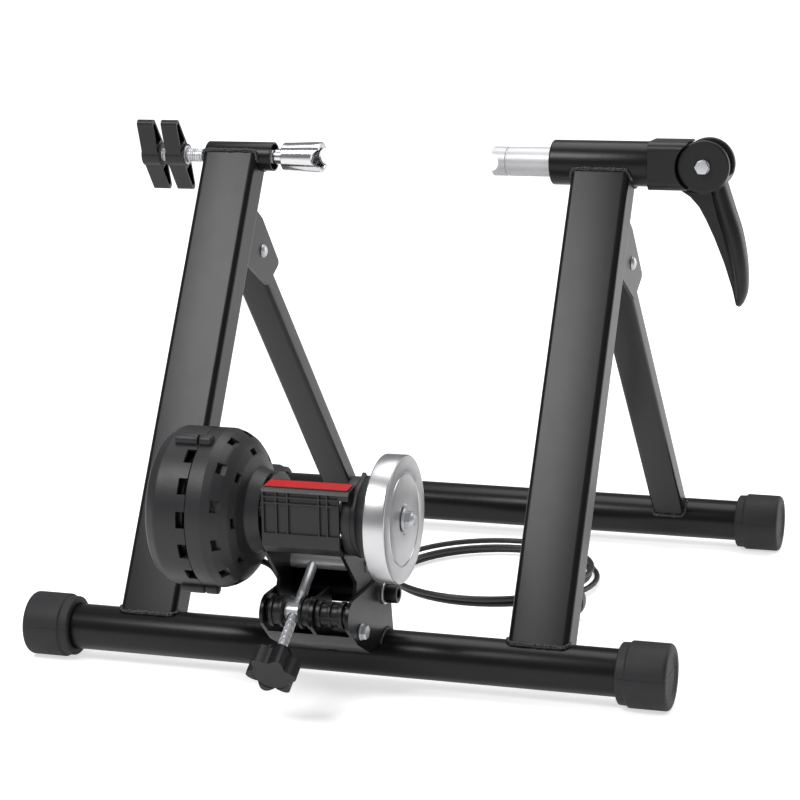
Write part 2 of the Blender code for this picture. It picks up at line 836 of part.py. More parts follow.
for side, sign in (("front", -1), ("rear", 1)):
    inner = Vector((CAM_X, AXLE_Y + sign * DISC_IN, AXLE_Z))
    outer = Vector((CAM_X, AXLE_Y + sign * DISC_OUT, AXLE_Z))
    join(cam_lever, cylinder(f"{side}_disc", inner, outer, CAM_DISC_R, sides=24))
web_outline = [
    (0.2445, 0.3815),
    (0.2480, 0.3640),
    (0.2590, 0.3386),
    (0.2680, 0.3190),
    (0.2750, 0.2970),
    (0.2780, 0.2830),
    (0.2840, 0.2830),
    (0.2850, 0.3000),
    (0.2830, 0.3200),
    (0.2770, 0.3450),
    (0.2700, 0.3650),
    (0.2660, 0.3830),
]
web = front_plate("lever_web", web_outline, AXLE_Y - 0.0055, AXLE_Y + 0.0055)
join(cam_lever, web)
GRIP_STATIONS = (
    (0.2650, 0.3850, 0.0070, 0.0130),
    (0.2705, 0.3650, 0.0080, 0.0132),
    (0.2775, 0.3430, 0.0082, 0.0130),
    (0.2825, 0.3200, 0.0074, 0.0118),
    (0.2850, 0.3000, 0.0058, 0.0094),
    (0.2835, 0.2855, 0.0034, 0.0056),
)
grip_rings = []
for k, (x, z, half_x, half_y) in enumerate(GRIP_STATIONS):
    before = GRIP_STATIONS[max(k - 1, 0)]
    after = GRIP_STATIONS[min(k + 1, len(GRIP_STATIONS) - 1)]
    run = Vector((after[0] - before[0], 0, after[1] - before[1])).normalized()
    out = Vector((-run.z, 0, run.x))
    ring = []
    for i in range(12):
        turn = 2 * math.pi * i / 12
        offset = out * half_x * math.cos(turn) + Y * half_y * math.sin(turn)
        ring.append(Vector((x, AXLE_Y, z)) + offset)
    grip_rings.append(ring)
join(cam_lever, loft("lever_grip", grip_rings))
cut(cam_lever, pin_bore)
cam_pin = cylinder(
    "cam_pin",
    (CAM_X, AXLE_Y - DISC_OUT - 0.001, AXLE_Z),
    (CAM_X, AXLE_Y + DISC_OUT + 0.001, AXLE_Z),
    CAM_PIN_R,
    ZINC,
    sides=20,
)
for side, sign in (("front", -1), ("rear", 1)):
    inner = Vector((CAM_X, AXLE_Y + sign * (DISC_OUT + FIT), AXLE_Z))
    join(cam_pin, cylinder(f"pin_{side}_head", inner, inner + Y * sign * 0.005, 0.0072, sides=6))

# Base bracket of the unit: three ears and a floor, welded on the front tube
EARS = ((-0.034, -0.031), (0.007, 0.010), (0.037, 0.040))
EAR_R = 0.0145
ear_outline = (
    arc((PIVOT_Y, PIVOT_Z), EAR_R, 20, 90, 4)
    + arc((NUT_Y, NUT_Z - 0.0015), EAR_R, 90, 205, 6)
    + [(-0.068, 0.049), (-0.034, 0.026), (0, 0.020), (0.019, 0.026), (0.0185, 0.040)]
)
bracket = side_plate("pivot_bracket", ear_outline, EARS[0][0], EARS[2][1], PAINT)
floor_line = [
    (-0.110, 0.0712),
    (-0.0665, 0.0535),
    (-0.033, 0.0305),
    (0.050, 0.0305),
    (0.050, 0.120),
    (-0.110, 0.120),
]
left_bay = side_plate("left_bay", floor_line, EARS[0][1], EARS[1][0])
right_bay = side_plate("right_bay", floor_line, EARS[1][1], EARS[2][0])
cut(bracket, left_bay, right_bay, front_saddle)
inner_ear_end = box("inner_ear_end", (0.004, -0.042, 0.0310), (0.013, 0.05, 0.13))
cut(bracket, inner_ear_end)

# Arm: two pressed cheeks, a web behind the cross bar and the pivot tube
CHEEKS = ((-0.0305, -0.0275), (0.0335, 0.0365))
EYE_R = 0.018
BEARING_R = 0.014
PIVOT_BOLT_R = 0.005
PIVOT_TUBE_R = 0.010
cheek_outline = (
    arc((SPIN_Y, SPIN_Z), EYE_R, 10, 200, 10)
    + [(-0.0835, 0.128), (-0.0560, 0.1000), (-0.0600, 0.0870)]
    + arc((PIVOT_Y, PIVOT_Z), 0.0125, 255, 390, 7)
)
arm = side_plate("unit_arm", cheek_outline, CHEEKS[0][0], CHEEKS[0][1], PAINT, unit)
join(arm, side_plate("right_cheek", cheek_outline, CHEEKS[1][0], CHEEKS[1][1]))
join(
    arm,
    cylinder(
        "pivot_tube",
        (CHEEKS[0][0] + 0.001, PIVOT_Y, PIVOT_Z),
        (CHEEKS[1][1] - 0.001, PIVOT_Y, PIVOT_Z),
        PIVOT_TUBE_R,
        sides=24,
    ),
)
web_low = Vector((0, 0.0060, 0.0700))
web_high = Vector((0, -0.0290, 0.1280))
web_side = (web_high - web_low).normalized().cross(X) * 0.00125
arm_web = side_plate(
    "arm_web",
    [
        ((web_low + web_side).y, (web_low + web_side).z),
        ((web_high + web_side).y, (web_high + web_side).z),
        ((web_high - web_side).y, (web_high - web_side).z),
        ((web_low - web_side).y, (web_low - web_side).z),
    ],
    CHEEKS[0][0] + 0.001,
    CHEEKS[1][1] - 0.001,
)
join(arm, arm_web)


def cross_bore(name, y, z, radius, low=-0.06, high=0.06, sides=24):
    return cylinder(name, (low, y, z), (high, y, z), radius, sides=sides)


pivot_bore = cross_bore("pivot_bore", PIVOT_Y, PIVOT_Z, PIVOT_BOLT_R + SLIDE_FIT, sides=20)
cut(
    arm,
    cross_bore("bearing_bore", SPIN_Y, SPIN_Z, BEARING_R + FIT, sides=24),
    pivot_bore,
    cross_bore("bar_bore", BAR_Y, BAR_Z, BAR_R + SLIDE_FIT, sides=20),
)
cut(bracket, pivot_bore)

# Pivot bolt through the ears, with a washer and the screw at the bracket's front
head_at = EARS[2][1] + 0.0021
pivot_bolt = cylinder(
    "unit_pivot_bolt",
    (EARS[0][0] - 0.004, PIVOT_Y, PIVOT_Z),
    (head_at + 0.001, PIVOT_Y, PIVOT_Z),
    PIVOT_BOLT_R,
    PAINT,
    sides=18,
)
join(
    pivot_bolt,
    cylinder(
        "pivot_head",
        (head_at, PIVOT_Y, PIVOT_Z),
        (head_at + 0.010, PIVOT_Y, PIVOT_Z),
        0.008,
        sides=20,
    ),
    cylinder(
        "pivot_nut",
        (EARS[0][0] - 0.0045, PIVOT_Y, PIVOT_Z),
        (EARS[0][0] - FIT, PIVOT_Y, PIVOT_Z),
        0.0085,
        sides=6,
    ),
)
cut(
    pivot_bolt,
    cylinder(
        "pivot_socket",
        (head_at + 0.005, PIVOT_Y, PIVOT_Z),
        (head_at + 0.02, PIVOT_Y, PIVOT_Z),
        0.0046,
        sides=6,
    ),
)
turned(
    "pivot_washer",
    ring_profile(0.0095, PIVOT_BOLT_R + FIT, 0, 0.0015),
    (EARS[2][1] + FIT, PIVOT_Y, PIVOT_Z),
    X,
    ZINC,
    sides=24,
)
SCREW_SPOT = Vector((EARS[2][1] + FIT, -0.0595, 0.0615))
ear_screw = cylinder(
    "ear_screw", SCREW_SPOT + X * 0.001, SCREW_SPOT + X * 0.0055, 0.0058, ZINC, sides=6
)
join(ear_screw, cylinder("ear_flange", SCREW_SPOT, SCREW_SPOT + X * 0.0012, 0.0066, sides=18))

# Roller, its axle and bearings, the flywheel and the braked disc
LEFT_BEARING, RIGHT_BEARING = -0.029, 0.035
BEARING_HALF = 0.004
WHEEL_SPAN = (0.060, 0.078)
DISC_SPAN = (-0.0895, -0.0845)
cylinder(
    "unit_axle",
    spin_centre + X * -0.110,
    spin_centre + X * (WHEEL_SPAN[1] + 0.0015),
    AXLE_R,
    ZINC,
    spinner,
    20,
)
turned(
    "roller",
    [
        (ROLLER_R - 0.0015, 0),
        (ROLLER_R, 0.0015),
        (ROLLER_R, 0.0525),
        (ROLLER_R - 0.0015, 0.054),
        (AXLE_R + FIT, 0.054),
        (AXLE_R + FIT, 0),
    ],
    spin_centre + X * -0.0245,
    X,
    TREAD,
    spinner,
    22,
)
for name, middle in (("left_bearing", LEFT_BEARING), ("right_bearing", RIGHT_BEARING)):
    turned(
        name,
        ring_profile(BEARING_R, AXLE_R + FIT, 0, 2 * BEARING_HALF),
        spin_centre + X * (middle - BEARING_HALF),
        X,
        ZINC,
        unit,
        20,
    )
WHEEL_THICK = WHEEL_SPAN[1] - WHEEL_SPAN[0]
GROOVE_R = 0.036
turned(
    "flywheel",
    [
        (AXLE_R + FIT, 0),
        (0.016, 0),
        (0.017, 0.001),
        (WHEEL_R - 0.0012, 0.001),
        (WHEEL_R, 0.0022),
        (WHEEL_R, WHEEL_THICK - 0.0012),
        (WHEEL_R - 0.0012, WHEEL_THICK),
        (GROOVE_R + 0.0006, WHEEL_THICK),
        (GROOVE_R, WHEEL_THICK - 0.0008),
        (GROOVE_R - 0.0006, WHEEL_THICK),
        (AXLE_R + FIT, WHEEL_THICK),
    ],
    spin_centre + X * WHEEL_SPAN[0],
    X,
    POLISHED,
    spinner,
    30,
)
wheel_nut = cylinder(
    "flywheel_nut",
    spin_centre + X * (WHEEL_SPAN[1] + FIT),
    spin_centre + X * (WHEEL_SPAN[1] + 0.0042),
    0.0100,
    ZINC,
    spinner,
    18,
)
join(
    wheel_nut,
    cylinder(
        "nut_hexagon",
        spin_centre + X * (WHEEL_SPAN[1] + 0.003),
        spin_centre + X * (WHEEL_SPAN[1] + 0.0095),
        0.0072,
        sides=6,
    ),
)
cut(wheel_nut, cross_bore("nut_bore", SPIN_Y, SPIN_Z, AXLE_R + FIT, 0.07, WHEEL_SPAN[1] + 0.002))
turned(
    "brake_disc",
    ring_profile(0.054, AXLE_R + FIT, 0, DISC_SPAN[1] - DISC_SPAN[0]),
    spin_centre + X * DISC_SPAN[0],
    X,
    ALUMINIUM,
    spinner,
    24,
)
MAGNET_BORE_R = 0.0125
magnet_plate = turned(
    "magnet_plate",
    ring_profile(0.050, MAGNET_BORE_R, 0, 0.003),
    spin_centre + X * -0.1025,
    X,
    MAGNET,
    magnets,
    22,
)
slugs = []
for k in range(6):
    turn = math.radians(60 * k)
    spot = spin_centre + Vector((0, 0.038 * math.cos(turn), 0.038 * math.sin(turn)))
    slugs.append(cylinder(f"slug_{k}", spot + X * -0.1005, spot + X * -0.0925, 0.0085, sides=7))
join(magnet_plate, merged("magnet_slugs", slugs))

# Magnet unit covers: an outer shell with a windowed rim and a slotted inner dome
COVER_LEFT = -0.118
COVER_SPLIT = -0.0886
INNER_LEFT = COVER_SPLIT + FIT
WINDOW_FROM = -0.094
HUB_END = -0.0985
AXLE_END = -0.110
rim = COVER_SPLIT - COVER_LEFT
hub = HUB_END - COVER_LEFT
hub_floor = AXLE_END - 0.0015 - COVER_LEFT
outer_cover = turned(
    "magnet_outer_cover",
    [
        (0, 0),
        (0.052, 0),
        (0.0605, 0.0035),
        (0.0645, 0.0100),
        (COVER_R, 0.0135),
        (COVER_R, rim),
        (COVER_R - SHELL_WALL, rim),
        (COVER_R - SHELL_WALL, 0.0125),
        (0.0575, 0.0060),
        (0.0500, SHELL_WALL),
        (MAGNET_BORE_R - FIT, SHELL_WALL),
        (MAGNET_BORE_R - FIT, hub),
        (AXLE_R + SLIDE_FIT, hub),
        (AXLE_R + SLIDE_FIT, hub_floor),
        (0, hub_floor),
    ],
    spin_centre + X * COVER_LEFT,
    X,
    COVER,
    unit,
    28,
)
inner_cover = turned(
    "magnet_inner_cover",
    [
        (COVER_R, 0),
        (COVER_R, 0.0150),
        (0.0610, 0.0200),
        (0.0540, 0.0278),
        (0.0440, 0.0345),
        (0.0315, 0.0390),
        (0.0290, 0.0479),
        (0.0265, 0.0479),
        (0.0290, 0.0375),
        (0.0425, 0.0322),
        (0.0520, 0.0258),
        (0.0585, 0.0185),
        (COVER_R - SHELL_WALL, 0.0145),
        (COVER_R - SHELL_WALL, 0),
    ],
    spin_centre + X * INNER_LEFT,
    X,
    COVER,
    unit,
    28,
)


def radial_boxes(name, span, radii, width, angles):
    """Boxes set round the spin axis, as one cutter."""
    blocks = []
    for k, angle in enumerate(angles):
        low = Vector((span[0], radii[0], -width / 2))
        high = Vector((span[1], radii[1], width / 2))
        block = box(f"{name}_{k}", low, high)
        turn = Matrix.Rotation(math.radians(angle), 4, "X")
        block.matrix_basis = Matrix.Translation(spin_centre) @ turn @ block.matrix_basis
        blocks.append(block)
    return merged(name, blocks)


BOSS_R = 0.0045
BOSS_AT = 0.0640
window_angles = [15 + 30 * k for k in range(12)]
cut(
    outer_cover,
    radial_boxes(
        "rim_windows", (WINDOW_FROM, COVER_SPLIT + 0.01), (0.055, 0.08), 0.0165, window_angles
    ),
)
slot_angles = [22.5 + 45 * k for k in range(8)]
inner_angles = [45 * k for k in range(8)]
cut(
    inner_cover,
    radial_boxes("outer_slots", (-0.080, -0.045), (0.0518, 0.0568), 0.0085, slot_angles),
    radial_boxes("inner_slots", (-0.080, -0.045), (0.0405, 0.0455), 0.0080, inner_angles),
)
for k, angle in enumerate(BOSS_ANGLES):
    turn = math.radians(angle)
    spot = spin_centre + BOSS_AT * Vector((0, math.cos(turn), math.sin(turn)))
    join(
        outer_cover,
        cylinder(f"outer_boss_{k}", spot + X * -0.098, spot + X * COVER_SPLIT, BOSS_R, sides=12),
    )
    join(
        inner_cover,
        cylinder(f"inner_boss_{k}", spot + X * INNER_LEFT, spot + X * -0.0735, BOSS_R, sides=12),
    )

# Housing of the roller: a folded shell with a ribbed front panel and two round ends
HOUSING = (-0.0400, 0.0420)
FRONT_Y = -0.0925
TOP_Z = 0.187
shell_side = [
    (FRONT_Y, 0.1200),
    (FRONT_Y, 0.1740),
    (FRONT_Y + 0.0035, 0.1825),
    (FRONT_Y + 0.0085, TOP_Z),
    (FRONT_Y + 0.0200, TOP_Z),
    (FRONT_Y + 0.0205, TOP_Z - SHELL_WALL),
    (FRONT_Y + 0.0095, TOP_Z - SHELL_WALL),
    (FRONT_Y + 0.0055, 0.1812),
    (FRONT_Y + SHELL_WALL, 0.1735),
    (FRONT_Y + SHELL_WALL, 0.1225),
    (FRONT_Y + 0.0080, 0.1205),
    (FRONT_Y + 0.0080, 0.1180),
    (FRONT_Y + 0.0015, 0.1180),
]
housing = side_plate("roller_housing", shell_side, HOUSING[0], HOUSING[1], COVER, unit)
RING_R = 0.0190
left_wall = spin_centre + X * HOUSING[0]
right_end_length = HOUSING[1] - CHEEKS[1][1] - FIT
right_wall = spin_centre + X * (HOUSING[1] - right_end_length)
join(
    housing,
    turned("left_end", ring_profile(0.0310, RING_R, 0, SHELL_WALL), left_wall, X, sides=24),
    turned("left_seat_ring", ring_profile(0.0240, RING_R, 0, 0.0092), left_wall, X, sides=24),
    turned("right_end", ring_profile(0.0330, RING_R, 0, right_end_length), right_wall, X, sides=24),
)
PANEL = (-0.0290, 0.0350)
PANEL_DEPTH = 0.0013
panel = box(
    "front_panel",
    (PANEL[0], FRONT_Y - 0.001, 0.1290),
    (PANEL[1], FRONT_Y + PANEL_DEPTH, 0.1705),
)
cut(housing, panel)
strip_y = (FRONT_Y + 0.0092, FRONT_Y + 0.0193)
box(
    "housing_red_strip",
    (-0.0380, strip_y[0], TOP_Z + FIT),
    (0.0330, strip_y[1], TOP_Z + FIT + 0.0009),
    RED,
    unit,
)
flange = turned(
    "housing_flange",
    ring_profile(0.0360, 0.0080, 0, 0.0044),
    spin_centre + X * (HOUSING[1] + FIT),
    X,
    PLASTIC,
    unit,
    24,
)
tab = side_plate(
    "flange_tab",
    [
        (SPIN_Y - 0.010, SPIN_Z + 0.032),
        (SPIN_Y + 0.004, SPIN_Z + 0.032),
        (SPIN_Y - 0.001, SPIN_Z + 0.0405),
    ],
    HOUSING[1] + FIT + 0.0006,
    HOUSING[1] + FIT + 0.0038,
)
join(flange, tab)

# Cable entry on the inner cover: a black sleeve and its barrel adjuster
entry = cylinder(
    "entry_bore",
    CABLE_EXIT - CABLE_HEADING * 0.026,
    CABLE_EXIT + CABLE_HEADING * 0.004,
    0.0058,
    sides=20,
)
cut(inner_cover, entry)
cylinder(
    "cable_sleeve",
    CABLE_EXIT - CABLE_HEADING * 0.0165,
    CABLE_EXIT - CABLE_HEADING * 0.0083,
    0.0054,
    PLASTIC,
    unit,
    18,
    0.0046,
)
cylinder(
    "barrel_adjuster",
    CABLE_EXIT - CABLE_HEADING * 0.0080,
    CABLE_EXIT - CABLE_HEADING * FIT,
    0.0039,
    ZINC,
    unit,
    14,
)

# Tension screw: it turns in the arm's cross bar and runs through the barrel nut below
t_bar = cylinder(
    "t_bar", (-0.0340, BAR_Y, BAR_Z), (0.0395, BAR_Y, BAR_Z), BAR_R, ALUMINIUM, bar, 24
)
spindle_end = bar_centre + spindle_axis * 0.0045
cut(
    t_bar,
    cylinder(
        "bar_cross_bore",
        spindle_end + spindle_axis * 0.0003,
        bar_centre - spindle_axis * 0.02,
        SPINDLE_R + FIT,
        sides=20,
    ),
)
knob_top = nut_centre - spindle_axis * KNOB_FROM_NUT
knob_body = KNOB_LENGTH - 0.006
cylinder(
    "tension_screw",
    knob_top - spindle_axis * 0.019,
    spindle_end,
    SPINDLE_R,
    ZINC,
    spindle,
    18,
)
lobes = []
for i in range(30):
    turn = 2 * math.pi * i / 30
    radius = KNOB_R - 0.0015 * (1 - math.cos(6 * turn))
    lobes.append((radius * math.cos(turn), radius * math.sin(turn)))
knob = plate(
    "tension_knob",
    lobes,
    facing(knob_top - spindle_axis * (0.006 + knob_body / 2), spindle_axis, X),
    knob_body,
    PLASTIC,
    spindle,
)
join(
    knob,
    cylinder("knob_hub", knob_top - spindle_axis * 0.008, knob_top, 0.0095, sides=20),
)
cut(
    knob,
    cylinder(
        "knob_bore",
        knob_top - spindle_axis * 0.0195,
        knob_top + spindle_axis * 0.005,
        SPINDLE_R + FIT,
        sides=20,
    ),
)
NUT_R = 0.0070
NUT_PIN_R = 0.0050
nut_axis_at = Vector((0, NUT_Y, NUT_Z))
barrel = turned(
    "barrel_nut",
    [
        (0, -0.0300),
        (NUT_PIN_R, -0.0300),
        (NUT_PIN_R, -0.0160),
        (NUT_R, -0.0160),
        (NUT_R, -0.0030),
        (NUT_PIN_R, -0.0030),
        (NUT_PIN_R, 0.0026),
        (0, 0.0026),
    ],
    nut_axis_at,
    X,
    ZINC,
    sides=18,
)
cut(
    barrel,
    cylinder(
        "nut_cross_bore",
        nut_centre - spindle_axis * 0.02,
        nut_centre + spindle_axis * 0.02,
        SPINDLE_R + 0.0008,
        sides=20,
    ),
)
BUSH_R = 0.0130
bore_r = NUT_PIN_R + FIT
turned(
    "left_nut_bush",
    [
        (bore_r, -0.0307),
        (0.0090, -0.0307),
        (0.0090, -0.0270),
        (BUSH_R, -0.0270),
        (BUSH_R, -0.0245),
        (0.0112, -0.0240),
        (0.0112, -0.0192),
        (BUSH_R, -0.0187),
        (BUSH_R, -0.0163),
        (bore_r, -0.0163),
    ],
    nut_axis_at,
    X,
    PLASTIC,
    sides=18,
)
turned(
    "right_nut_bush",
    [
        (bore_r, -0.0027),
        (BUSH_R, -0.0027),
        (BUSH_R, -0.0003),
        (0.0112, 0.0002),
        (0.0112, 0.0038),
        (BUSH_R, 0.0043),
        (BUSH_R, 0.0067),
        (0.0090, 0.0067),
        (0.0090, 0.0030),
        (bore_r, 0.0030),
    ],
    nut_axis_at,
    X,
    PLASTIC,
    sides=18,
)
cylinder(
    "nut_bush_disc", nut_axis_at + X * 0.0033, nut_axis_at + X * 0.0058, 0.0075, ZINC, sides=20
)
turned(
    "nut_spacer",
    [
        (0, 0.0103),
        (0.0108, 0.0103),
        (0.0108, 0.0145),
        (0.0088, 0.0150),
        (0.0088, 0.0205),
        (0.0104, 0.0210),
        (0.0104, 0.0230),
        (0.0088, 0.0235),
        (0.0088, 0.0290),
        (0.0108, 0.0295),
        (0.0108, 0.0330),
        (0.0080, 0.0330),
        (0.0080, 0.0367),
        (0, 0.0367),
    ],
    nut_axis_at,
    X,
    PLASTIC,
    sides=16,
)

# Resistance cable: a run from the barrel adjuster to the floor, and its loose coil


def smooth_path(route, spacing):
    """Points at an even spacing along a smooth curve through the route's points."""
    padded = [2 * route[0] - route[1], *route, 2 * route[-1] - route[-2]]
    fine = []
    for a, b, c, d in zip(padded, padded[1:], padded[2:], padded[3:]):
        for i in range(24):
            t = i / 24
            bend = (2 * a - 5 * b + 4 * c - d) * t * t + (3 * b - a - 3 * c + d) * t**3
            fine.append((2 * b + (c - a) * t + bend) / 2)
    fine.append(route[-1])
    total = sum((q - p).length for p, q in zip(fine, fine[1:]))
    count = max(round(total / spacing), 1)
    points, walked, wanted = [fine[0]], 0, 1
    for p, q in zip(fine, fine[1:]):
        step = (q - p).length
        while wanted < count and walked + step >= total * wanted / count:
            points.append(p.lerp(q, (total * wanted / count - walked) / step))
            wanted += 1
        walked += step
    return [*points, fine[-1]]


CABLE_END = 2 * CABLE_R
coil_start = Vector((COIL_X - COIL_R, COIL_Y, COIL_START_Z))
route = [
    CABLE_EXIT + CABLE_HEADING * CABLE_END,
    CABLE_EXIT + CABLE_HEADING * 0.018,
    Vector((-0.0440, -0.010, 0.0800)),
    Vector((-0.0470, 0.014, 0.0570)),
    Vector((-0.0500, 0.045, 0.0310)),
    Vector((-0.0520, 0.085, 0.0100)),
    Vector((-0.0530, 0.125, 0.0031)),
    Vector((-0.0530, 0.190, COIL_START_Z)),
    Vector((-0.0520, 0.250, COIL_START_Z)),
    coil_start - Y * CABLE_END,
]
run_path = [CABLE_EXIT, *smooth_path(route, 0.0125), coil_start - Y * FIT]
tube_on_path("cable_run", run_path, CABLE_R, 2, JACKET)
coil_path = [coil_start]
COIL_STEPS = 24
for i in range(round(COIL_TURNS * COIL_STEPS) + 1):
    turn = math.pi - 2 * math.pi * i / COIL_STEPS
    share = i / (COIL_TURNS * COIL_STEPS)
    radius = COIL_R + 0.0035 * math.sin(math.pi * share * 3)
    height = COIL_START_Z + COIL_LAYER * i / COIL_STEPS
    coil_path.append(
        Vector((COIL_X + radius * math.cos(turn), COIL_Y + radius * math.sin(turn), height))
        + Y * CABLE_END
        - Y * 2 * CABLE_END * share
    )
coil_end = coil_path[-1]
body_z = BAND_R + FIT
body_face = Vector((SHIFTER_X - 0.007, SHIFTER_Y + 0.0153, body_z))
tail = smooth_path(
    [
        coil_end,
        Vector((0.1290, 0.268, body_z + 0.0014)),
        Vector((0.1180, 0.246, body_z + 0.0022)),
        body_face + Y * 0.010 + Z * 0.0004,
        body_face + Y * CABLE_END,
    ],
    0.0115,
)
coil_path += [*tail[1:], body_face + Y * FIT]
tube_on_path("cable_coil", coil_path, CABLE_R, 1, JACKET)


def least_gap(path, radius, near):
    """The least clear space between stretches of the tube further apart than near."""
    lengths = [0]
    for p, q in zip(path, path[1:]):
        lengths.append(lengths[-1] + (q - p).length)
    dense = []
    for k, (p, q) in enumerate(zip(path, path[1:])):
        for i in range(8):
            dense.append((p.lerp(q, i / 8), lengths[k] + (q - p).length * i / 8))
    least = 1.0
    for i, (p, s) in enumerate(dense):
        for q, t in dense[i + 1 :]:
            if t - s > near:
                least = min(least, (p - q).length)
    return least - 2 * radius


print("coil least gap mm", round(1000 * least_gap(coil_path, CABLE_R, 0.06), 2))
print("run length mm", round(1000 * sum((q - p).length for p, q in zip(run_path, run_path[1:]))))
print("coil length mm", round(1000 * sum((q - p).length for p, q in zip(coil_path, coil_path[1:]))))

# Handlebar shifter at the cable's end: a clamp band, a round body and a thumb lever
body_x = (SHIFTER_X - 0.013, SHIFTER_X - 0.0005)
band_x = SHIFTER_X + 0.016
turned(
    "shifter_band",
    ring_profile(BAND_R, BAND_R - 0.0033, 0, 0.012),
    (band_x, SHIFTER_Y - 0.006, body_z),
    Y,
    PLASTIC,
    sides=20,
)
shifter = cylinder(
    "shifter_body",
    (body_x[0], SHIFTER_Y, body_z),
    (body_x[1] - 0.0002, SHIFTER_Y, body_z),
    0.0150,
    PLASTIC,
    sides=24,
)
THUMB = (body_x[0] - 0.0050, body_x[0] - FIT)
THUMB_PIN_R = 0.0030
join(
    shifter,
    cylinder(
        "thumb_pin",
        (THUMB[0] - 0.0010, SHIFTER_Y, body_z),
        (body_x[0] + 0.002, SHIFTER_Y, body_z),
        THUMB_PIN_R,
        sides=16,
    ),
)
paddle_turn = math.radians(130)
run_y, run_z = math.cos(paddle_turn), math.sin(paddle_turn)


def paddle_point(along, aside):
    return (
        SHIFTER_Y + run_y * along - run_z * aside,
        body_z + run_z * along + run_y * aside,
    )


PADDLE = (
    (0.006, -0.0075),
    (0.026, -0.0045),
    (0.033, -0.0025),
    (0.033, 0.0035),
    (0.026, 0.0055),
    (0.006, 0.0075),
)
thumb_lever = side_plate(
    "shifter_lever",
    [paddle_point(along, aside) for along, aside in PADDLE],
    THUMB[0],
    THUMB[1],
    PLASTIC,
    thumb,
)
join(
    thumb_lever,
    cylinder(
        "thumb_disc", (THUMB[0], SHIFTER_Y, body_z), (THUMB[1], SHIFTER_Y, body_z), 0.0125, sides=24
    ),
)
cut(
    thumb_lever,
    cylinder(
        "thumb_bore",
        (THUMB[0] - 0.01, SHIFTER_Y, body_z),
        (THUMB[1] + 0.01, SHIFTER_Y, body_z),
        THUMB_PIN_R + FIT,
        sides=16,
    ),
)

# The origin goes to the bottom centre of the object's box, measured without the cable
bpy.context.view_layer.update()
graph = bpy.context.evaluated_depsgraph_get()
lows, highs = Vector((9, 9, 9)), Vector((-9, -9, -9))
for obj in parts.objects:
    if obj.type != "MESH":
        continue
    shape = obj.evaluated_get(graph)
    for vertex in shape.data.vertices:
        point = shape.matrix_world @ vertex.co
        for k in range(3):
            lows[k] = min(lows[k], point[k])
            highs[k] = max(highs[k], point[k])
trainer.location = (-(lows.x + highs.x) / 2, -(lows.y + highs.y) / 2, -lows.z)
bpy.context.view_layer.update()
print("size mm", [round(1000 * v, 2) for v in highs - lows])
print("root at mm", [round(1000 * v, 3) for v in trainer.location])
for obj in parts.objects:
    if obj.type == "EMPTY":
        print(obj.name, [round(v, 6) for v in obj.matrix_world.translation])
print("screw axis", [round(v, 6) for v in spindle_axis])
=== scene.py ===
"""Looks of a folding magnetic bike trainer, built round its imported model."""

import math

import bmesh
import bpy
from mathutils import Matrix, Vector


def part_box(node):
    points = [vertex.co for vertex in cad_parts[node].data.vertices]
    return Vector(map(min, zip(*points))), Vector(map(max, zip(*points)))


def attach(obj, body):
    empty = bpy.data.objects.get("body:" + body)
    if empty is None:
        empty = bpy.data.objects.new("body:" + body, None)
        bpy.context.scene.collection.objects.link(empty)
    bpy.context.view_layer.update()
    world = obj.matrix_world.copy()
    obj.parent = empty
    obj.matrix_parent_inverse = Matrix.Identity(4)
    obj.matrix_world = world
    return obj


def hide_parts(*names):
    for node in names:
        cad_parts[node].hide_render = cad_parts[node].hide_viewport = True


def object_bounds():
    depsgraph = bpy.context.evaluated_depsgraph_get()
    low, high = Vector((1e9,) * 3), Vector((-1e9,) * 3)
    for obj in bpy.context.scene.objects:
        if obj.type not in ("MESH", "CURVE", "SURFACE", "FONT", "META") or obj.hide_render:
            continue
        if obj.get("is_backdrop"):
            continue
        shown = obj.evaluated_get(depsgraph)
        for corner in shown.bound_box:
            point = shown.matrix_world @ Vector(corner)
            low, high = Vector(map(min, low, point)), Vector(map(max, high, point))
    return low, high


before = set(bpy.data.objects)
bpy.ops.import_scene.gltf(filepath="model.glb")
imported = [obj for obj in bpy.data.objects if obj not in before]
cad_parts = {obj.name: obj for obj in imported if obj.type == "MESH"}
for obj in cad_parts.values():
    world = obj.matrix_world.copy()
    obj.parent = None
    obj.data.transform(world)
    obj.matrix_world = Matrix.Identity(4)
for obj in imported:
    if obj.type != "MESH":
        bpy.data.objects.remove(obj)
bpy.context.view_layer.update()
bpy.context.scene.view_settings.view_transform = "Standard"

# Camera and studio: a long lens at knee height in front of the trainer, a pale floor,
# one large soft lamp above the left front, a wide one overhead and a weaker one behind.
tube_low, tube_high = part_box("front_base_tube")
HOME = Vector(((tube_low.x + tube_high.x) / 2, (tube_low.y + tube_high.y) / 2, 0))
X = Vector((1, 0, 0))
Y = Vector((0, 1, 0))
Z = Vector((0, 0, 1))

CAMERA_AT = Vector((0.6630, -1.7715, 0.6332))
CAMERA_RIGHT = Vector((0.947, 0.3207, -0.0179))
CAMERA_UP = Vector((-0.0501, 0.2025, 0.978))
LENS_MM = 109.4
LAMPS = {
    "front_lamp": ((-0.75, -1.35, 1.75), (0, 0.05, 0.45), (1.1, 0.7), 24),
    "top_lamp": ((0.1, 0.5, 2.3), (0, 0.1, 0.1), (2.2, 1.6), 30),
    "back_lamp": ((1.9, 2.1, 0.9), (0.1, 0.1, 0.25), (1.4, 1.6), 20),
}
ROOM_GREY = (0.24, 0.24, 0.245, 1)
FLOOR_GREY = (0.86, 0.86, 0.86, 1)
WHITE = (1, 1, 1, 1)
FLOOR_SIZE = 14
FLOOR_DROP = 0.0004


def placed(name, data):
    """A new object in the scene."""
    made = bpy.data.objects.new(name, data)
    bpy.context.scene.collection.objects.link(made)
    return made


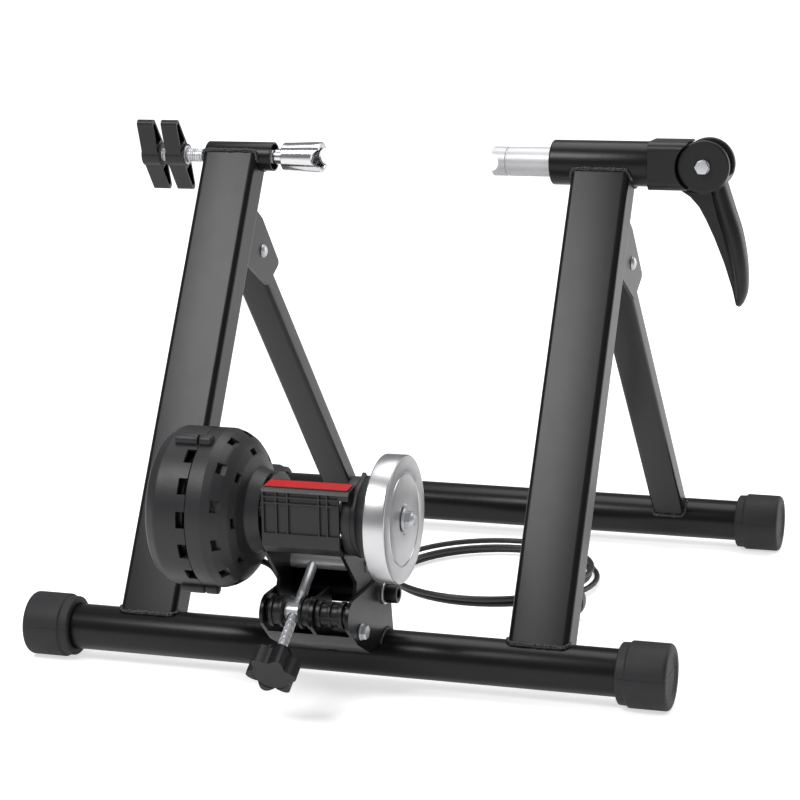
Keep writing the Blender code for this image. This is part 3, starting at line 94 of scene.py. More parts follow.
def set_inputs(node, values):
    """Sets a node's inputs, by name or number."""
    for socket, value in values.items():
        node.inputs[socket].default_value = value


def add_node(tree, kind, values=None, **settings):
    """A new node in a tree, with its settings and its inputs set."""
    node = tree.nodes.new(kind)
    for setting, choice in settings.items():
        setattr(node, setting, choice)
    set_inputs(node, values or {})
    return node


def wire(tree, *runs):
    """Links nodes. Each run is a node, its output, the next node and its input."""
    for start, leaving, end, entering in runs:
        tree.links.new(start.outputs[leaving], end.inputs[entering])


view_right = CAMERA_RIGHT.normalized()
view_back = view_right.cross(CAMERA_UP).normalized()
view_up = view_back.cross(view_right)
lens = bpy.data.cameras.new("camera")
lens.lens = LENS_MM
lens.clip_end = 60
camera = placed("camera", lens)
facing = Matrix((view_right, view_up, view_back)).transposed().to_4x4()
camera.matrix_world = Matrix.Translation(HOME + CAMERA_AT) @ facing
bpy.context.scene.camera = camera

for name, (place, aim, size, power) in LAMPS.items():
    lamp = bpy.data.lights.new(name, "AREA")
    lamp.shape = "RECTANGLE"
    lamp.size, lamp.size_y = size
    lamp.energy = power
    away = (Vector(place) - Vector(aim)).normalized()
    facing = away.to_track_quat("Z", "Y").to_matrix().to_4x4()
    placed(name, lamp).matrix_world = Matrix.Translation(place) @ facing

studio = bpy.data.worlds.new("studio")
studio.use_nodes = True
bpy.context.scene.world = studio
tree = studio.node_tree
room = tree.nodes["Background"]
set_inputs(room, {"Color": ROOM_GREY})
paper = add_node(tree, "ShaderNodeBackground", {"Color": WHITE})
rays = add_node(tree, "ShaderNodeLightPath")
seen = add_node(tree, "ShaderNodeMath", operation="MAXIMUM")
either = add_node(tree, "ShaderNodeMixShader")
wire(
    tree,
    (rays, "Is Camera Ray", seen, 0),
    (rays, "Is Transmission Ray", seen, 1),
    (seen, 0, either, 0),
    (room, 0, either, 1),
    (paper, 0, either, 2),
    (either, 0, tree.nodes["World Output"], "Surface"),
)

plane = bmesh.new()
bmesh.ops.create_grid(plane, x_segments=1, y_segments=1, size=FLOOR_SIZE)
floor_mesh = bpy.data.meshes.new("floor")
plane.to_mesh(floor_mesh)
plane.free()
floor = placed("floor", floor_mesh)
floor.location = HOME - Z * FLOOR_DROP
sheet = bpy.data.materials.new("pale_floor")
sheet.use_nodes = True
tree = sheet.node_tree
shader = tree.nodes["Principled BSDF"]
set_inputs(shader, {"Base Color": FLOOR_GREY, "Roughness": 0.9, "Specular IOR Level": 0})
set_inputs(shader, {"Emission Color": WHITE})
rays = add_node(tree, "ShaderNodeLightPath")
seen = add_node(tree, "ShaderNodeMath", {1: 0.6}, operation="MULTIPLY_ADD")
glow = add_node(tree, "ShaderNodeMath", operation="MULTIPLY")
spread = add_node(tree, "ShaderNodeTexCoord")
reach = add_node(tree, "ShaderNodeVectorMath", operation="LENGTH")
edges = {"From Min": 0.7, "From Max": 2.2, "To Min": 0.62, "To Max": 1.0}
paling = add_node(tree, "ShaderNodeMapRange", edges)
wire(
    tree,
    (spread, "Object", reach, 0),
    (reach, "Value", paling, "Value"),
    (rays, "Is Glossy Ray", seen, 0),
    (rays, "Is Camera Ray", seen, 2),
    (seen, 0, glow, 0),
    (paling, "Result", glow, 1),
    (glow, 0, shader, "Emission Strength"),
)
floor_mesh.materials.append(sheet)
floor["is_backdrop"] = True

# Resistance cable: a 5 mm lined housing with a black plastic jacket. It runs from the
# magnet unit to the floor, lies there in loose loops and ends in the shifter's body.
BEND_STEPS = 24


def smooth_path(route, spacing):
    """Points at an even spacing along a smooth curve through the route's points."""
    padded = [2 * route[0] - route[1], *route, 2 * route[-1] - route[-2]]
    fine = []
    for a, b, c, d in zip(padded, padded[1:], padded[2:], padded[3:]):
        for i in range(BEND_STEPS):
            t = i / BEND_STEPS
            bend = (2 * a - 5 * b + 4 * c - d) * t * t + (3 * b - a - 3 * c + d) * t**3
            fine.append((2 * b + (c - a) * t + bend) / 2)
    fine.append(route[-1])
    total = sum((q - p).length for p, q in zip(fine, fine[1:]))
    count = max(round(total / spacing), 1)
    points, walked, wanted = [fine[0]], 0, 1
    for p, q in zip(fine, fine[1:]):
        step = (q - p).length
        while wanted < count and walked + step >= total * wanted / count:
            points.append(p.lerp(q, (total * wanted / count - walked) / step))
            wanted += 1
        walked += step
    return [*points, fine[-1]]


def surface(name, slot, colour, metallic, roughness, grain, depth, specular=0.5, vary=0.06):
    """A finish whose tone, gloss and height vary as moulded, plated or painted stock does."""
    made = bpy.data.materials.new(name)
    made.use_nodes = True
    made["slot"] = slot
    tree = made.node_tree
    shader = tree.nodes["Principled BSDF"]
    set_inputs(shader, {"Metallic": metallic, "Specular IOR Level": specular})
    place = add_node(tree, "ShaderNodeTexCoord")
    cloud = add_node(tree, "ShaderNodeTexNoise", {"Scale": 22, "Detail": 5})
    tone = add_node(tree, "ShaderNodeValToRGB")
    for stop, at, share in zip(tone.color_ramp.elements, (0.3, 0.7), (1 - vary, 1 + vary)):
        stop.position = at
        stop.color = (*[min(share * c, 1) for c in colour], 1)
    smear = add_node(tree, "ShaderNodeTexNoise", {"Scale": 70, "Detail": 8})
    gloss = add_node(tree, "ShaderNodeMapRange", {"From Min": 0.3, "From Max": 0.7})
    set_inputs(gloss, {"To Min": roughness * (1 - vary), "To Max": min(roughness * (1 + vary), 1)})
    speck = add_node(tree, "ShaderNodeTexNoise", {"Scale": grain, "Detail": 3})
    relief = add_node(tree, "ShaderNodeBump", {"Strength": 0.6, "Distance": depth}, name="relief")
    wire(
        tree,
        (place, "Object", cloud, "Vector"),
        (cloud, "Fac", tone, "Fac"),
        (tone, "Color", shader, "Base Color"),
        (place, "Object", smear, "Vector"),
        (smear, "Fac", gloss, "Value"),
        (gloss, "Result", shader, "Roughness"),
        (place, "Object", speck, "Vector"),
        (speck, "Fac", relief, "Height"),
        (relief, "Normal", shader, "Normal"),
    )
    return made


jacket = surface("cable_jacket", "cable_jacket", (0.016, 0.016, 0.017), 0, 0.42, 900, 0.0001)
CABLE_R = 0.0025
CABLE_EXIT = Vector((-0.050, -0.045, 0.110))
CABLE_HEADING = Vector((0.35, 0.75, -0.56)).normalized()
COIL_MIDDLE = Vector((0.040, 0.300, 0.0028))
COIL_R = 0.092
COIL_TURNS = 2.5
COIL_SWAY = 0.0035
LOOP_STEPS = 48
COIL_LAYER = 0.0056
SHIFTER = Vector((0.119, 0.208, 0.0165))
PATH_STEP = 0.006
straight = 2 * CABLE_R
coil_start = COIL_MIDDLE - X * COIL_R
route = [
    CABLE_EXIT + CABLE_HEADING * straight,
    CABLE_EXIT + CABLE_HEADING * 0.018,
    Vector((-0.0440, -0.010, 0.0800)),
    Vector((-0.0470, 0.014, 0.0570)),
    Vector((-0.0500, 0.045, 0.0310)),
    Vector((-0.0520, 0.085, 0.0100)),
    Vector((-0.0530, 0.125, 0.0031)),
    Vector((-0.0530, 0.190, 0.0028)),
    Vector((-0.0520, 0.250, 0.0028)),
    coil_start - Y * straight,
]
line = [CABLE_EXIT, *smooth_path(route, PATH_STEP), coil_start]
for i in range(round(COIL_TURNS * LOOP_STEPS) + 1):
    turn = math.pi - 2 * math.pi * i / LOOP_STEPS
    share = i / (COIL_TURNS * LOOP_STEPS)
    radius = COIL_R + COIL_SWAY * math.sin(math.pi * share * 3)
    loop = Vector((radius * math.cos(turn), radius * math.sin(turn), COIL_LAYER * i / LOOP_STEPS))
    line.append(COIL_MIDDLE + loop + Y * straight * (1 - 2 * share))
body_face = SHIFTER + Vector((-0.007, 0.0153, 0))
tail = [
    line[-1],
    Vector((0.1290, 0.268, SHIFTER.z + 0.0014)),
    Vector((0.1180, 0.246, SHIFTER.z + 0.0022)),
    body_face + Y * 0.010 + Z * 0.0004,
    body_face + Y * straight,
]
line += [*smooth_path(tail, PATH_STEP)[1:], body_face + Y * 0.0003]
cable_curve = bpy.data.curves.new("resistance_cable", "CURVE")
cable_curve.dimensions = "3D"
cable_curve.bevel_depth = CABLE_R
cable_curve.bevel_resolution = 4
cable_curve.use_fill_caps = True
spline = cable_curve.splines.new("POLY")
spline.points.add(len(line) - 1)
for target, point in zip(spline.points, line):
    target.co = (*(HOME + point), 1)
spline.use_smooth = True
cable_curve.materials.append(jacket)
cable = placed("resistance_cable", cable_curve)
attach(cable, "fixed_frame")
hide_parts("cable_run", "cable_coil")
sum((q - p).length for p, q in zip(line, line[1:]))

# Base tubes: two lengths of 38 mm welded steel tube with a 1.5 mm wall, cut square and
# powder coated gloss black. The front one carries the uprights, the rear one the legs.
TUBE_R = 0.019
WALL = 0.0015
BASE_Z = 0.026
REAR_Y = 0.480
TUBE_HALF = 0.2707
GAP = 0.0003
SLIDING = 0.0004
NEARLY_FLAT = 1.55
SIDE_SHARE = 0.49


def axes(origin, along, side=None):
    """A matrix whose Z is one direction and whose X is as near as it can be to another."""
    z = Vector(along).normalized()
    hint = side or (Y if abs(z.x) > 0.9 else X)
    x = (hint - hint.dot(z) * z).normalized()
    return Matrix.Translation(origin) @ Matrix((x, z.cross(x), z)).transposed().to_4x4()


def finished(shape, name):
    """The mesh of a built shape, with its faces turned outwards."""
    bmesh.ops.remove_doubles(shape, verts=shape.verts, dist=1e-6)
    bmesh.ops.recalc_face_normals(shape, faces=shape.faces)
    mesh = bpy.data.meshes.new(name)
    shape.to_mesh(mesh)
    shape.free()
    return mesh


def turned(profile, start, along, sides=96):
    """A closed profile of (radius, height), turned about an axis from a start point."""
    shape = bmesh.new()
    rings = []
    for r, h in profile:
        if r < 1e-6:
            rings.append([shape.verts.new((0, 0, h))] * sides)
            continue
        angles = [2 * math.pi * k / sides for k in range(sides)]
        rings.append([shape.verts.new((r * math.cos(a), r * math.sin(a), h)) for a in angles])
    for low, high in zip(rings, rings[1:] + rings[:1]):
        for k in range(sides):
            n = (k + 1) % sides
            corners = list(dict.fromkeys((low[k], low[n], high[n], high[k])))
            if len(corners) > 2:
                shape.faces.new(corners)
    mesh = finished(shape, "turned")
    mesh.transform(axes(start, along))
    return mesh


def rounded(corners, radius=0, steps=5):
    """A closed outline with rounded corners. A corner's own radius may follow its place."""
    outline = []
    for i, (u, v, *own) in enumerate(corners):
        size = own[0] if own else radius
        here = Vector((u, v))
        before = Vector(corners[i - 1][:2]) - here
        after = Vector(corners[(i + 1) % len(corners)][:2]) - here
        half = before.angle(after) / 2
        if size <= 0 or half > NEARLY_FLAT:
            outline.append(tuple(here))
            continue
        reach = min(size / math.tan(half), SIDE_SHARE * before.length, SIDE_SHARE * after.length)
        size = reach * math.tan(half)
        inward = (before.normalized() + after.normalized()).normalized()
        centre = here + inward * size / math.sin(half)
        start = here + before.normalized() * reach - centre
        end = here + after.normalized() * reach - centre
        first = math.atan2(start.y, start.x)
        sweep = (math.atan2(end.y, end.x) - first + math.pi) % (2 * math.pi) - math.pi
        for k in range(steps + 1):
            a = first + sweep * k / steps
            outline.append((centre.x + size * math.cos(a), centre.y + size * math.sin(a)))
    return outline


def shaded(mesh, angle=32):
    """Smooth shading, broken at the real edges."""
    mesh.shade_smooth()
    mesh.set_sharp_from_angle(angle=math.radians(angle))
    return mesh


def piece(name, mesh, finish, body, *stands_for):
    """A finished piece on its body, in place of the plain solids that it stands for."""
    mesh.transform(Matrix.Translation(HOME))
    mesh.materials.clear()
    mesh.materials.append(finish)
    made = placed(name, mesh)
    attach(made, body)
    if stands_for:
        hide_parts(*stands_for)
    return made


paint = surface(
    "gloss_black_paint", "black_paint", (0.006, 0.006, 0.007), 0, 0.3, 700, 0.00006, 0.3, 0.03
)
ROWS = (("front", 0, "fixed_frame"), ("rear", REAR_Y, "rear_frame"))
SIDES = (("left", -1), ("right", 1))
for row, y, body in ROWS:
    length = 2 * TUBE_HALF
    wall = [(TUBE_R - WALL, 0), (TUBE_R, 0), (TUBE_R, length), (TUBE_R - WALL, length)]
    stock = turned(rounded(wall, 0.0005, 3), (-TUBE_HALF, y, BASE_Z), X)
    piece(f"{row}_floor_tube", shaded(stock), paint, body, f"{row}_base_tube")

# Feet: four caps of soft black rubber, pushed over the tube ends. Each has a flat sole, a
# thinner mouth, a recessed disc in its end and the fine seam that a two-part mould leaves.
FOOT_R = 0.0265
FOOT_LENGTH = 0.041
FOOT_OUT = 0.275
FOOT_END = 0.004
SEAM_Z = BASE_Z + 0.0035
SEAM_HALF = 0.0007
SEAM_DEPTH = 0.0008
rubber = surface("foot_rubber", "foot_rubber", (0.021, 0.021, 0.023), 0, 0.6, 650, 0.00025, 0.4)
tree = rubber.node_tree
spread = add_node(tree, "ShaderNodeTexCoord")
height = add_node(tree, "ShaderNodeSeparateXYZ")
seam_at = add_node(tree, "ShaderNodeMath", {1: SEAM_Z}, operation="SUBTRACT")
seam_off = add_node(tree, "ShaderNodeMath", operation="ABSOLUTE")
seam = add_node(tree, "ShaderNodeMapRange", {"From Max": SEAM_HALF}, interpolation_type="SMOOTHSTEP")
parting = add_node(tree, "ShaderNodeBump", {"Distance": SEAM_DEPTH})
wire(
    tree,
    (spread, "Object", height, 0),
    (height, "Z", seam_at, 0),
    (seam_at, 0, seam_off, 0),
    (seam_off, 0, seam, "Value"),
    (seam, "Result", parting, "Height"),
    (tree.nodes["relief"], "Normal", parting, "Normal"),
    (parting, "Normal", tree.nodes["Principled BSDF"], "Normal"),
)
foot_line = [
    (0, FOOT_LENGTH - 0.0016),
    (0.0150, FOOT_LENGTH - 0.0016, 0.0006),
    (0.0165, FOOT_LENGTH - 0.0008, 0.0006),
    (0.0178, FOOT_LENGTH - 0.0008, 0.0006),
    (0.0190, FOOT_LENGTH, 0.0006),
    (FOOT_R, FOOT_LENGTH, 0.0034),
    (FOOT_R, 0.0088, 0.0012),
    (FOOT_R - 0.0015, 0.0074, 0.0010),
    (FOOT_R - 0.0018, 0.0010, 0.0012),
    (FOOT_R - 0.0035, 0, 0.0010),
    (TUBE_R + GAP, 0, 0.0005),
    (TUBE_R + GAP, FOOT_LENGTH - FOOT_END),
    (0, FOOT_LENGTH - FOOT_END),
]
for row, y, body in ROWS:
    for side, sign in SIDES:
        mouth = Vector((sign * (FOOT_OUT - FOOT_LENGTH), y, BASE_Z))
        cap = turned(rounded(foot_line), mouth, sign * X, 120)
        for vertex in cap.vertices:
            vertex.co.z = max(vertex.co.z, 0)
        piece(f"{row}_{side}_rubber_foot", shaded(cap, 40), rubber, body, f"{row}_{side}_foot")

# Uprights: 50 by 30 mm rectangular steel tube, leaning back from the front tube. Each
# end is coped to the round tube that it meets and welded all round.
POST_X = 0.168
POST_WIDTH = 0.050
POST_DEPTH = 0.030
POST_CORNER = 0.005
AXLE = Vector((0, 0.216, 0.400))
CLAMP_R = 0.0127
CAM_TUBE_R = 0.019
COPE_HALF = 0.26
CLAMP_COPE = (0.12, 0.22)
post_run = AXLE - Z * BASE_Z
post_along = post_run.normalized()
post_back = Vector((0, post_along.z, -post_along.y))


def rod(start, end, radius, edge=0.0, sides=64):
    """A round bar with its two edges broken."""
    start, end = Vector(start), Vector(end)
    length = (end - start).length
    profile = [(0, 0), (radius, 0), (radius, length), (0, length)]
    if edge:
        profile = rounded([(r, h, edge if r else 0) for r, h in profile], steps=3)
    return turned(profile, start, end - start, sides)


def bar(origin, low, high, radius, edge=0.0, sides=64):
    """A rod along X, from one distance beside a point to another."""
    return rod(origin + X * low, origin + X * high, radius, edge, sides)


def slab(outline, place, thickness):
    """A flat outline made half its thickness to each side of a plane."""
    shape = bmesh.new()
    low = [shape.verts.new((u, v, -thickness / 2)) for u, v in outline]
    high = [shape.verts.new((u, v, thickness / 2)) for u, v in outline]
    shape.faces.new(low[::-1])
    shape.faces.new(high)
    for i in range(len(outline)):
        j = (i + 1) % len(outline)
        shape.faces.new((low[i], low[j], high[j], high[i]))
    mesh = finished(shape, "slab")
    mesh.transform(place)
    return mesh


def block(low, high):
    """A square-edged block between two corners."""
    low, high = Vector(low), Vector(high)
    corners = [(low.x, low.y), (high.x, low.y), (high.x, high.y), (low.x, high.y)]
    return slab(corners, Matrix.Translation(Z * (low.z + high.z) / 2), high.z - low.z)


def evaluated_mesh(thing):
    """The mesh that an object's modifiers make; the object is then removed."""
    bpy.context.view_layer.update()
    graph = bpy.context.evaluated_depsgraph_get()
    mesh = bpy.data.meshes.new_from_object(thing.evaluated_get(graph))
    bpy.data.objects.remove(thing)
    return mesh


def worked(stock, joined=(), cut=(), edge=0.0, rows=2, angle=30):
    """One mesh from a solid with others welded to it, others cut out and its edges broken."""
    work = placed("work", stock)
    tools = []
    for operation, meshes in (("UNION", joined), ("DIFFERENCE", cut)):
        for mesh in meshes:
            tool = placed("tool", mesh)
            change = work.modifiers.new("shape", "BOOLEAN")
            change.operation = operation
            change.object = tool
            tools.append(tool)
    if edge:
        bevel = work.modifiers.new("edge", "BEVEL")
        bevel.width = edge
        bevel.segments = rows
        bevel.limit_method = "ANGLE"
        bevel.angle_limit = math.radians(angle)
    mesh = evaluated_mesh(work)
    for tool in tools:
        bpy.data.objects.remove(tool)
    if edge:
        shaded(mesh, 45)
        work = placed("work", mesh)
        weigh = work.modifiers.new("flat_faces", "WEIGHTED_NORMAL")
        weigh.keep_sharp = True
        return evaluated_mesh(work)
    return shaded(mesh)


def rectangle(width, depth, corner, steps=6):
    """Outline of a rectangle with rounded corners, about the origin."""
    a, b = width / 2, depth / 2
    return rounded([(a, b), (-a, b), (-a, -b), (a, -b)], corner, steps)


def base_cope(y):
    """A cutter for the end of a tube that stands on a base tube."""
    return rod((-COPE_HALF, y, BASE_Z), (COPE_HALF, y, BASE_Z), TUBE_R + GAP, sides=96)


top_radii = {"left": CLAMP_R, "right": CAM_TUBE_R}
for side, sign in SIDES:
    foot_end = Vector((sign * POST_X, 0, BASE_Z))
    place = axes(foot_end + post_run / 2, post_along, X)
    outline = rectangle(POST_WIDTH, POST_DEPTH, POST_CORNER)
    hollow = rectangle(POST_WIDTH - 2 * WALL, POST_DEPTH - 2 * WALL, POST_CORNER - WALL)
    near, far = (AXLE + X * sign * x for x in CLAMP_COPE)
    top_cope = rod(near, far, top_radii[side] + GAP, sides=96)
    cuts = (slab(hollow, place, 0.5), base_cope(0), top_cope)
    post = worked(slab(outline, place, post_run.length), cut=cuts)
    piece(f"{side}_post", shaded(post, 25), paint, "fixed_frame", f"{side}_upright")

# Weld beads: a row of overlapping puddles of filler laid by hand round each joint, and
# coated with the tubes, so they shine through the same black paint.


def tree_of(name, sizes):
    """A geometry tree with named sizes going in, and its two end nodes."""
    tree = bpy.data.node_groups.new(name, "GeometryNodeTree")
    tree.interface.new_socket("Geometry", in_out="INPUT", socket_type="NodeSocketGeometry")
    for label, kind in sizes.items():
        tree.interface.new_socket(label, in_out="INPUT", socket_type=f"NodeSocket{kind}")
    tree.interface.new_socket("Geometry", in_out="OUTPUT", socket_type="NodeSocketGeometry")
    return tree, tree.nodes.new("NodeGroupInput"), tree.nodes.new("NodeGroupOutput")


def grown(stock, tree, values):
    """The mesh that a geometry tree makes of a stock mesh, with its inputs set by name."""
    thing = placed("grown", stock)
    change = thing.modifiers.new("tree", "NODES")
    change.node_group = tree
    for item in tree.interface.items_tree:
        if item.in_out == "INPUT" and item.name in values:
            change[item.identifier] = values[item.name]
    return evaluated_mesh(thing)


def path_mesh(points, closed=False):
    """A mesh with only the edges of a path."""
    mesh = bpy.data.meshes.new("path")
    edges = [(i, i + 1) for i in range(len(points) - 1)]
    if closed:
        edges.append((len(points) - 1, 0))
    mesh.from_pydata([tuple(p) for p in points], edges, [])
    return mesh


bead, sizes, result = tree_of(
    "weld_bead", {"Puddle Radius": "Float", "Spacing": "Float", "Seed": "Int", "Finish": "Material"}
)
run = add_node(bead, "GeometryNodeMeshToCurve")
stops = add_node(bead, "GeometryNodeResampleCurve", mode="LENGTH")
puddle = add_node(bead, "GeometryNodeMeshIcoSphere", {"Subdivisions": 3})
uneven = {"Min": (0.75, 0.75, 0.6), "Max": (1.2, 1.15, 1.05)}
spread = add_node(bead, "FunctionNodeRandomValue", uneven, data_type="FLOAT_VECTOR")
lean = add_node(bead, "FunctionNodeRandomValue", {"Max": (3, 3, 3)}, data_type="FLOAT_VECTOR")
laid = add_node(bead, "GeometryNodeInstanceOnPoints")
solid = add_node(bead, "GeometryNodeRealizeInstances")
soft = add_node(bead, "GeometryNodeSetShadeSmooth")
coat = add_node(bead, "GeometryNodeSetMaterial")
wire(
    bead,
    (sizes, "Geometry", run, 0),
    (run, 0, stops, "Curve"),
    (sizes, "Spacing", stops, "Length"),
    (sizes, "Puddle Radius", puddle, "Radius"),
    (sizes, "Seed", spread, "Seed"),
    (sizes, "Seed", lean, "Seed"),
    (stops, 0, laid, "Points"),
    (puddle, 0, laid, "Instance"),
    (spread, 0, laid, "Scale"),
    (lean, 0, laid, "Rotation"),
    (laid, 0, solid, 0),
    (solid, 0, soft, 0),
    (soft, 0, coat, "Geometry"),
    (sizes, "Finish", coat, "Material"),
    (coat, 0, result, "Geometry"),
)


def together(*meshes):
    """Several meshes as one, with nothing changed."""
    shape = bmesh.new()
    for mesh in meshes:
        shape.from_mesh(mesh)
    joined = bpy.data.meshes.new("together")
    shape.to_mesh(joined)
    shape.free()
    return joined


def coped_line(foot_end, along, back, half_width, half_depth, corner, tube_radius, lift):
    """The line where a rectangular tube meets the round tube that it stands on."""
    line = []
    deepest = 0.995 * tube_radius
    for u, v in rectangle(2 * half_width, 2 * half_depth, corner, 3):
        depth = max(min(v, deepest), -deepest)
        rise = math.sqrt(tube_radius**2 - depth**2) * lift
        line.append(foot_end + X * u + back * v + along * rise)
    return line


weld_paint = surface("painted_weld", "black_paint", (0.012, 0.012, 0.013), 0, 0.3, 300, 0.0004, 0.6)


def welded(line, puddle_radius, spacing, seed, closed=True):
    """A bead laid along a line."""
    values = {"Puddle Radius": puddle_radius, "Spacing": spacing, "Seed": seed, "Finish": weld_paint}
    return grown(path_mesh(line, closed), bead, values)


post_size = (POST_WIDTH / 2 + GAP, POST_DEPTH / 2 + GAP, POST_CORNER)
beads = []
for k, (side, sign) in enumerate(SIDES):
    foot_end = Vector((sign * POST_X, 0, BASE_Z))
    seat = coped_line(foot_end, post_along, post_back, *post_size, TUBE_R + 0.0008, 1)
    beads.append(welded(seat, 0.0021, 0.0017, 3 + k))
    top = foot_end + post_run
    seat = coped_line(top, post_along, post_back, *post_size, top_radii[side] + 0.0006, -1)
    beads.append(welded(seat, 0.0021, 0.0018, 7 + k))
piece("upright_welds", together(*beads), weld_paint, "fixed_frame")

# Fold hinges: a bracket folded from 3 mm sheet behind each upright takes the top of a
# rear leg between its cheeks, on a rivet with two domed heads.
HINGE_X = 0.169
HINGE_HALF = 0.019
HINGE_SHEET = 0.003
HINGE_PIN_R = 0.004
HINGE_ALONG = 0.364
HINGE_BEHIND = 0.055


def on_post(along, behind):
    """(y, z) of a point given along an upright and behind its centre line."""
    point = Z * BASE_Z + along * post_along + behind * post_back
    return point.y, point.z


def side_slab(outline, low, high):
    """A slab whose outline is (y, z) and whose thickness runs from x = low to high."""
    place = Matrix(((0, 0, 1, (low + high) / 2), (1, 0, 0, 0), (0, 1, 0, 0), (0, 0, 0, 1)))
    return slab(outline, place, high - low)


hinge_y, hinge_z = on_post(HINGE_ALONG, HINGE_BEHIND)
bracket_line = (
    (0.340, 0.0153, 0),
    (0.340, 0.079, 0.004),
    (0.369, 0.097, 0.004),
    (0.390, 0.041, 0.006),
    (0.392, 0.0153, 0),
)
inner_line = (
    (0.330, 0.0178),
    (0.330, 0.130),
    (0.3476, 0.134),
    (0.3688, 0.0726),
    (0.3969, 0.0822),
    (0.420, 0.0178),
)
bracket_outer = rounded([(*on_post(s, d), corner) for s, d, corner in bracket_line])
bracket_inner = [on_post(s, d) for s, d in inner_line]
zinc = surface("bright_zinc", "zinc_steel", (0.64, 0.65, 0.67), 0.55, 0.36, 500, 0.00003)
hinge_bore = ((-0.2, hinge_y, hinge_z), (0.2, hinge_y, hinge_z), HINGE_PIN_R + GAP)
rivet_length = 2 * (HINGE_HALF + GAP)
rivet_head = [(0, 0.0032), (0.0024, 0.0030), (0.0044, 0.0023), (0.0058, 0.0010), (0.0062, 0)]
rivet_line = [(r, -h) for r, h in rivet_head]
rivet_line += [(HINGE_PIN_R, 0), (HINGE_PIN_R, rivet_length)]
rivet_line += [(r, rivet_length + h) for r, h in reversed(rivet_head)]
for side, sign in SIDES:
    middle = sign * HINGE_X
    reach = HINGE_HALF - HINGE_SHEET
    cheeks = worked(
        side_slab(bracket_outer, middle - HINGE_HALF, middle + HINGE_HALF),
        cut=(side_slab(bracket_inner, middle - reach, middle + reach), rod(*hinge_bore)),
        edge=0.0007,
    )
    piece(f"{side}_fold_bracket", cheeks, paint, "fixed_frame", f"{side}_hinge_bracket")
    rivet = turned(rivet_line, (middle - HINGE_HALF - GAP, hinge_y, hinge_z), X, 48)
    piece(f"{side}_rivet", shaded(rivet), zinc, "fixed_frame", f"{side}_hinge_pin")

# Rear legs: 30 by 20 mm rectangular steel tube, drilled for the rivet at the top and
# coped and welded to the rear tube at the bottom. They fold forward with that tube.
LEG_WIDTH = 0.030
LEG_DEPTH = 0.020
LEG_CORNER = 0.004
LEG_ABOVE_PIN = 0.013
hinge = Vector((0, hinge_y, hinge_z))
leg_run = Vector((0, REAR_Y, BASE_Z)) - hinge
leg_along = leg_run.normalized()
leg_back = Vector((0, leg_along.z, -leg_along.y))
leg_size = (LEG_WIDTH / 2 + GAP, LEG_DEPTH / 2 + GAP, LEG_CORNER)
outline = rectangle(LEG_WIDTH, LEG_DEPTH, LEG_CORNER)
hollow = rectangle(LEG_WIDTH - 2 * WALL, LEG_DEPTH - 2 * WALL, LEG_CORNER - WALL)
beads = []
for k, (side, sign) in enumerate(SIDES):
    top = hinge + X * sign * HINGE_X - leg_along * LEG_ABOVE_PIN
    length = leg_run.length + LEG_ABOVE_PIN
    place = axes(top + leg_along * length / 2, leg_along, X)
    cuts = (slab(hollow, place, length + 0.02), base_cope(REAR_Y), rod(*hinge_bore))
    leg = worked(slab(outline, place, length), cut=cuts)
    piece(f"{side}_leg", shaded(leg, 25), paint, "rear_frame", f"{side}_rear_leg")
    foot_end = Vector((sign * HINGE_X, REAR_Y, BASE_Z))
    seat = coped_line(foot_end, leg_along, leg_back, *leg_size, TUBE_R + 0.0007, -1)
    beads.append(welded(seat, 0.0019, 0.0016, 11 + k))
piece("leg_welds", together(*beads), weld_paint, "rear_frame")

# Left clamp: a drawn steel tube welded on the upright, with a threaded steel screw through
# it and a chromed cup on the screw's end that takes the nut of the wheel's axle.
LEFT_TUBE = (-0.193, -0.131)
SCREW_R = 0.006
OUTER_WING = -0.254
SCREW_LOW = OUTER_WING + 0.0033
SCREW_SHOULDER = -0.1305
SPIGOT_R = 0.004
CLAMP_PITCH = 0.00175
RIDGE_SHARE = 0.3
CORE_SINK = 0.8
CUP_NECK = -0.1302
CUP_END = -0.086
CUP_R = 0.0125
CUP_RIM_R = 0.0135
CUP_BORE_R = 0.0095
CUP_DEPTH = 0.020
NOTCH_R = 0.0075

thread_sizes = {label: "Float" for label in ("Radius", "Pitch", "Length", "Ridge")}
thread, sizes, result = tree_of("thread", {**thread_sizes, "Finish": "Material"})
turns = add_node(thread, "ShaderNodeMath", operation="DIVIDE")
helix = add_node(thread, "GeometryNodeCurveSpiral", {"Resolution": 28})
section = add_node(thread, "GeometryNodeCurvePrimitiveCircle", {"Resolution": 4})
ridge = add_node(thread, "GeometryNodeCurveToMesh", {"Fill Caps": True})
solid = add_node(thread, "GeometryNodeRealizeInstances")
coat = add_node(thread, "GeometryNodeSetMaterial")
wire(
    thread,
    (sizes, "Length", turns, 0),
    (sizes, "Pitch", turns, 1),
    (turns, 0, helix, "Rotations"),
    (sizes, "Radius", helix, "Start Radius"),
    (sizes, "Radius", helix, "End Radius"),
    (sizes, "Length", helix, "Height"),
    (sizes, "Ridge", section, "Radius"),
    (helix, 0, ridge, "Curve"),
    (section, 0, ridge, "Profile Curve"),
    (ridge, 0, solid, 0),
    (solid, 0, coat, "Geometry"),
    (sizes, "Finish", coat, "Material"),
    (coat, 0, result, "Geometry"),
)


def threaded(start, end, radius, pitch, finish):
    """A screw thread between two points: a core and one ridge wound round it."""
    start, end = Vector(start), Vector(end)
    run = end - start
    depth = RIDGE_SHARE * pitch
    stock = bpy.data.meshes.new("thread_stock")
    values = {
        "Radius": radius - depth,
        "Pitch": pitch,
        "Length": run.length - 2 * depth,
        "Ridge": depth,
        "Finish": finish,
    }
    wound = grown(stock, thread, values)
    wound.transform(axes(start + run.normalized() * depth, run))
    return together(wound, rod(start, end, radius - CORE_SINK * depth, 0.0004))


